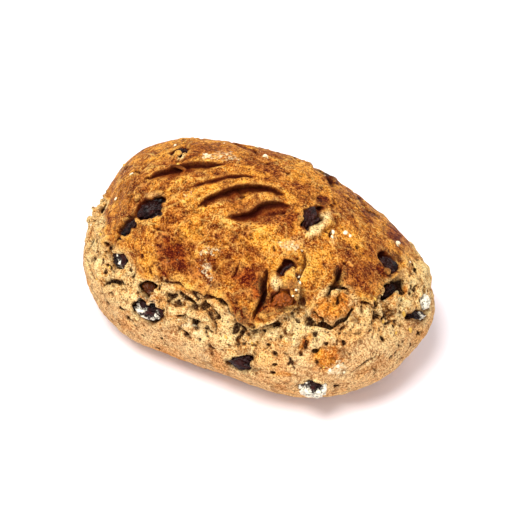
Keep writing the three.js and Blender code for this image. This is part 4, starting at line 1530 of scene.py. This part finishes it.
def crumb_colour(nodes, sand, grain, mottle, pores, lines):
    """Torn crumb and side wall: cream, tan, yellow and rose in patches, with painted shade in pores and
    hollows.
    """
    gold, cut_floor_and_shade = nodes.mark("gold"), nodes.mark("cut_floor_and_shade")
    hollow_shade, ridge, wall = nodes.mark("hollow_shade"), nodes.mark("ridge"), nodes.mark("wall")
    colour = nodes.mix(mottle, CRUMB_TAN, CRUMB_CREAM)
    colour = nodes.mix(nodes.ramp(grain, 0.55, 1.0, 0.0, 0.6), colour, CRUMB_YELLOW)
    colour = nodes.lay(colour, CRUMB_ROSE, wall, 0.6)
    # Painted highlight on the crumb's ridges.
    colour = nodes.lay(colour, CRUMB_CREAM, ridge, 0.5)
    golden = nodes.mix(mottle, CRUST_BROWN, CRUST_GOLD)
    colour = nodes.lay(colour, golden, gold, 0.95)
    light = nodes.lay(CRUMB_CREAM, CRUST_GOLD, gold, 0.6)
    colour = nodes.mix(nodes.ramp(grain, 0.45, 0.0, 0.0, 0.55), colour, CRUMB_SHADE)
    # Painted shade in the crumb's hollows: pale specks fade there and dark specks turn near black.
    colour = nodes.lay(colour, PORE_SHADE, hollow_shade, 0.95)
    bright = nodes.ramp(hollow_shade, 0.0, 0.8, 0.8, 0.22)
    light_sand = nodes.math("MULTIPLY", nodes.ramp(sand, 0.5, 1.0), bright)
    colour = nodes.mix(light_sand, colour, light)
    hollow = nodes.mix(hollow_shade, CRUMB_SHADE, CHAR_AND_SHADE_BLACK)
    colour = nodes.mix(nodes.ramp(sand, 0.5, 0.0, 0.0, 0.65), colour, hollow)
    # Painted shade in the small pits that stand for pores, less on the wall.
    pores = nodes.math("MULTIPLY", pores, nodes.ramp(wall, 0.0, 1.0, 0.65, 0.2))
    colour = nodes.mix(pores, colour, PORE_SHADE)
    colour = nodes.lay(colour, CRUMB_SHADE, lines, 0.45)
    # Painted shade in the raisin sockets.
    colour = nodes.lay(colour, PORE_SHADE, cut_floor_and_shade, 0.5)
    return nodes.add("ShaderNodeGamma", {"Color": colour, "Gamma": CRUMB_DEPTH}).outputs[0]


def bit_material(name, light, dark, speckle):
    """Matt grainy bits."""
    material, nodes = new_material(name)
    grain = nodes.group(speckle, Scale=900.0, Detail=4.0, Contrast=2.4, Roughness=0.7)
    finish_material(nodes, nodes.mix(grain, dark, light), 0.8, grain, 0.6, 0.0004)
    return material


def raisin_material(name, skin, thin, speckle, flour):
    """Dark shiny skin, reddish where it is thin, dusted with flour in places, with painted shade in its
    folds.
    """
    material, nodes = new_material(name)
    fold_shade, dust = nodes.mark("fold_shade"), nodes.mark("flour")
    grain = nodes.group(speckle, Scale=900.0, Detail=3.0, Contrast=2.0)
    patch = nodes.group(speckle, Scale=160.0, Detail=2.0, Contrast=3.0)
    colour = nodes.lay(skin, thin, patch, 0.55)
    # Painted shade in the folds.
    colour = nodes.lay(colour, RAISIN_FOLD_SHADE, fold_shade, 0.75)
    colour = nodes.group(flour, Color=colour, Mask=dust, Clump_scale=800.0, Amount=1.0)
    roughness = nodes.ramp(nodes.math("ADD", grain, dust), 0.0, 1.0, 0.12, 0.36)
    shader = finish_material(nodes, colour, roughness, grain, 0.5, 0.0005)
    shader.inputs["Specular IOR Level"].default_value = RAISIN_GLOSS
    return material


# ======================================================================== the studio

# In metres, watts and linear colours.
LIGHT_TARGET = (0, 0, 0.04)
SKY_COLOUR = (1.0, 0.985, 1.0, 1)
SKY_STRENGTH = 0.42
FLOOR_COLOUR = (0.95, 0.89, 0.94, 1)
FLOOR_REACH = 4
FLOOR_DROP = 0.0003
# Name, place, size, power and colour.
LIGHTS = [
    ("key", (-0.1, -0.3, 0.85), 0.5, 9.5, (1.0, 0.985, 0.95)),
    ("fill", (0.75, -0.75, 0.5), 0.8, 4.5, (1.0, 0.985, 0.97)),
    ("back", (0.2, 0.9, 0.55), 0.6, 3.0, (1.0, 0.985, 0.97)),
]


def make_camera():
    """The photograph's camera."""
    eye, back, _, _ = camera_axes()
    data = bpy.data.cameras.new("camera")
    data.lens = LENS
    data.sensor_width = SENSOR
    data.clip_start = 0.01
    data.clip_end = 10
    camera = bpy.data.objects.new("camera", data)
    bpy.context.scene.collection.objects.link(camera)
    camera.location = Vector(eye * MM)
    camera.rotation_mode = "QUATERNION"
    camera.rotation_quaternion = Vector(-back).to_track_quat("-Z", "Y")
    bpy.context.scene.camera = camera


def make_light(name, place, size, power, colour):
    """A round lamp that points at the loaf."""
    data = bpy.data.lights.new(name, "AREA")
    data.shape = "DISK"
    data.size = size
    data.energy = power
    data.color = colour
    light = bpy.data.objects.new(name, data)
    bpy.context.scene.collection.objects.link(light)
    light.location = place
    light.rotation_mode = "QUATERNION"
    light.rotation_quaternion = (Vector(LIGHT_TARGET) - Vector(place)).to_track_quat("-Z", "Y")


def make_floor():
    """A pale floor just under the loaf."""
    mesh = bpy.data.meshes.new("floor")
    corners = [(-FLOOR_REACH, -FLOOR_REACH), (FLOOR_REACH, -FLOOR_REACH)]
    corners += [(FLOOR_REACH, FLOOR_REACH), (-FLOOR_REACH, FLOOR_REACH)]
    mesh.from_pydata([(x, y, 0) for x, y in corners], [], [(0, 1, 2, 3)])
    floor = bpy.data.objects.new("floor", mesh)
    bpy.context.scene.collection.objects.link(floor)
    floor.location.z = -FLOOR_DROP
    material, nodes = new_material("floor")
    shader = nodes.add("ShaderNodeBsdfPrincipled", {"Base Color": FLOOR_COLOUR, "Roughness": 0.95})
    output = nodes.add("ShaderNodeOutputMaterial")
    material.node_tree.links.new(shader.outputs[0], output.inputs["Surface"])
    mesh.materials.append(material)


def light_scene():
    """An even sky and three lamps."""
    world = bpy.data.worlds.new("studio")
    world.use_nodes = True
    background = world.node_tree.nodes["Background"]
    background.inputs["Color"].default_value = SKY_COLOUR
    background.inputs["Strength"].default_value = SKY_STRENGTH
    bpy.context.scene.world = world
    for light in LIGHTS:
        make_light(*light)
    bpy.context.scene.view_settings.view_transform = "Standard"


# ======================================================================== the whole scene

def make_bread(dough):
    """The shaped dough as one painted mesh, thinned to the most triangles allowed."""
    points, faces = largest_piece(*draw_surface(dough.field))
    bread = make_mesh("bread", points, faces)
    share = MOST_TRIANGLES / (2 * len(faces))
    if share < 1:
        apply_modifier(bread, "DECIMATE", ratio=share, use_collapse_triangulate=True)
    mark_bread(bread, dough)
    return bread


def main():
    """Bread, raisins and loose bits, then the studio."""
    raisins = [Raisin(name) for name in RAISIN_NAMES]
    dough = Dough()
    shape_bread(dough, raisins)
    bread = make_bread(dough)
    speckle, flour, pits, veins = speckle_group(), flour_group(), pits_group(), veins_group()
    bread.data.materials.append(bread_material(speckle, flour, pits, veins))
    dark = raisin_material("dark_raisin", RAISIN_BLACK, RAISIN_MAROON, speckle, flour)
    golden = raisin_material("golden_raisin", RAISIN_SYRUP, RAISIN_AMBER, speckle, flour)
    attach(bread, "root")
    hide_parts("loaf")
    for index, raisin in enumerate(raisins):
        thing = make_raisin(raisin, RAISIN_SEED + RAISIN_SEED_STEP * index)
        is_golden = raisin.name in GOLDEN_RAISINS
        thing.data.materials.append(golden if is_golden else dark)
        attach(thing, "root")
        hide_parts(raisin.name)
    flakes = scatter_bits("flour_flakes", dough, FLAKES_SEEN, np.random.default_rng(FLAKE_SEED))
    flakes.data.materials.append(bit_material("flour", FLOUR_WHITE, CRUMB_CREAM, speckle))
    grains = scatter_bits("grain_bits", dough, GRAINS_SEEN, np.random.default_rng(GRAIN_SEED))
    grains.data.materials.append(bit_material("grain", GRAIN_YELLOW, GRAIN_TAN, speckle))
    for thing, slot in ((flakes, "flour"), (grains, "grain")):
        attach(thing, "root")
    make_camera()
    make_floor()
    light_scene()


main()
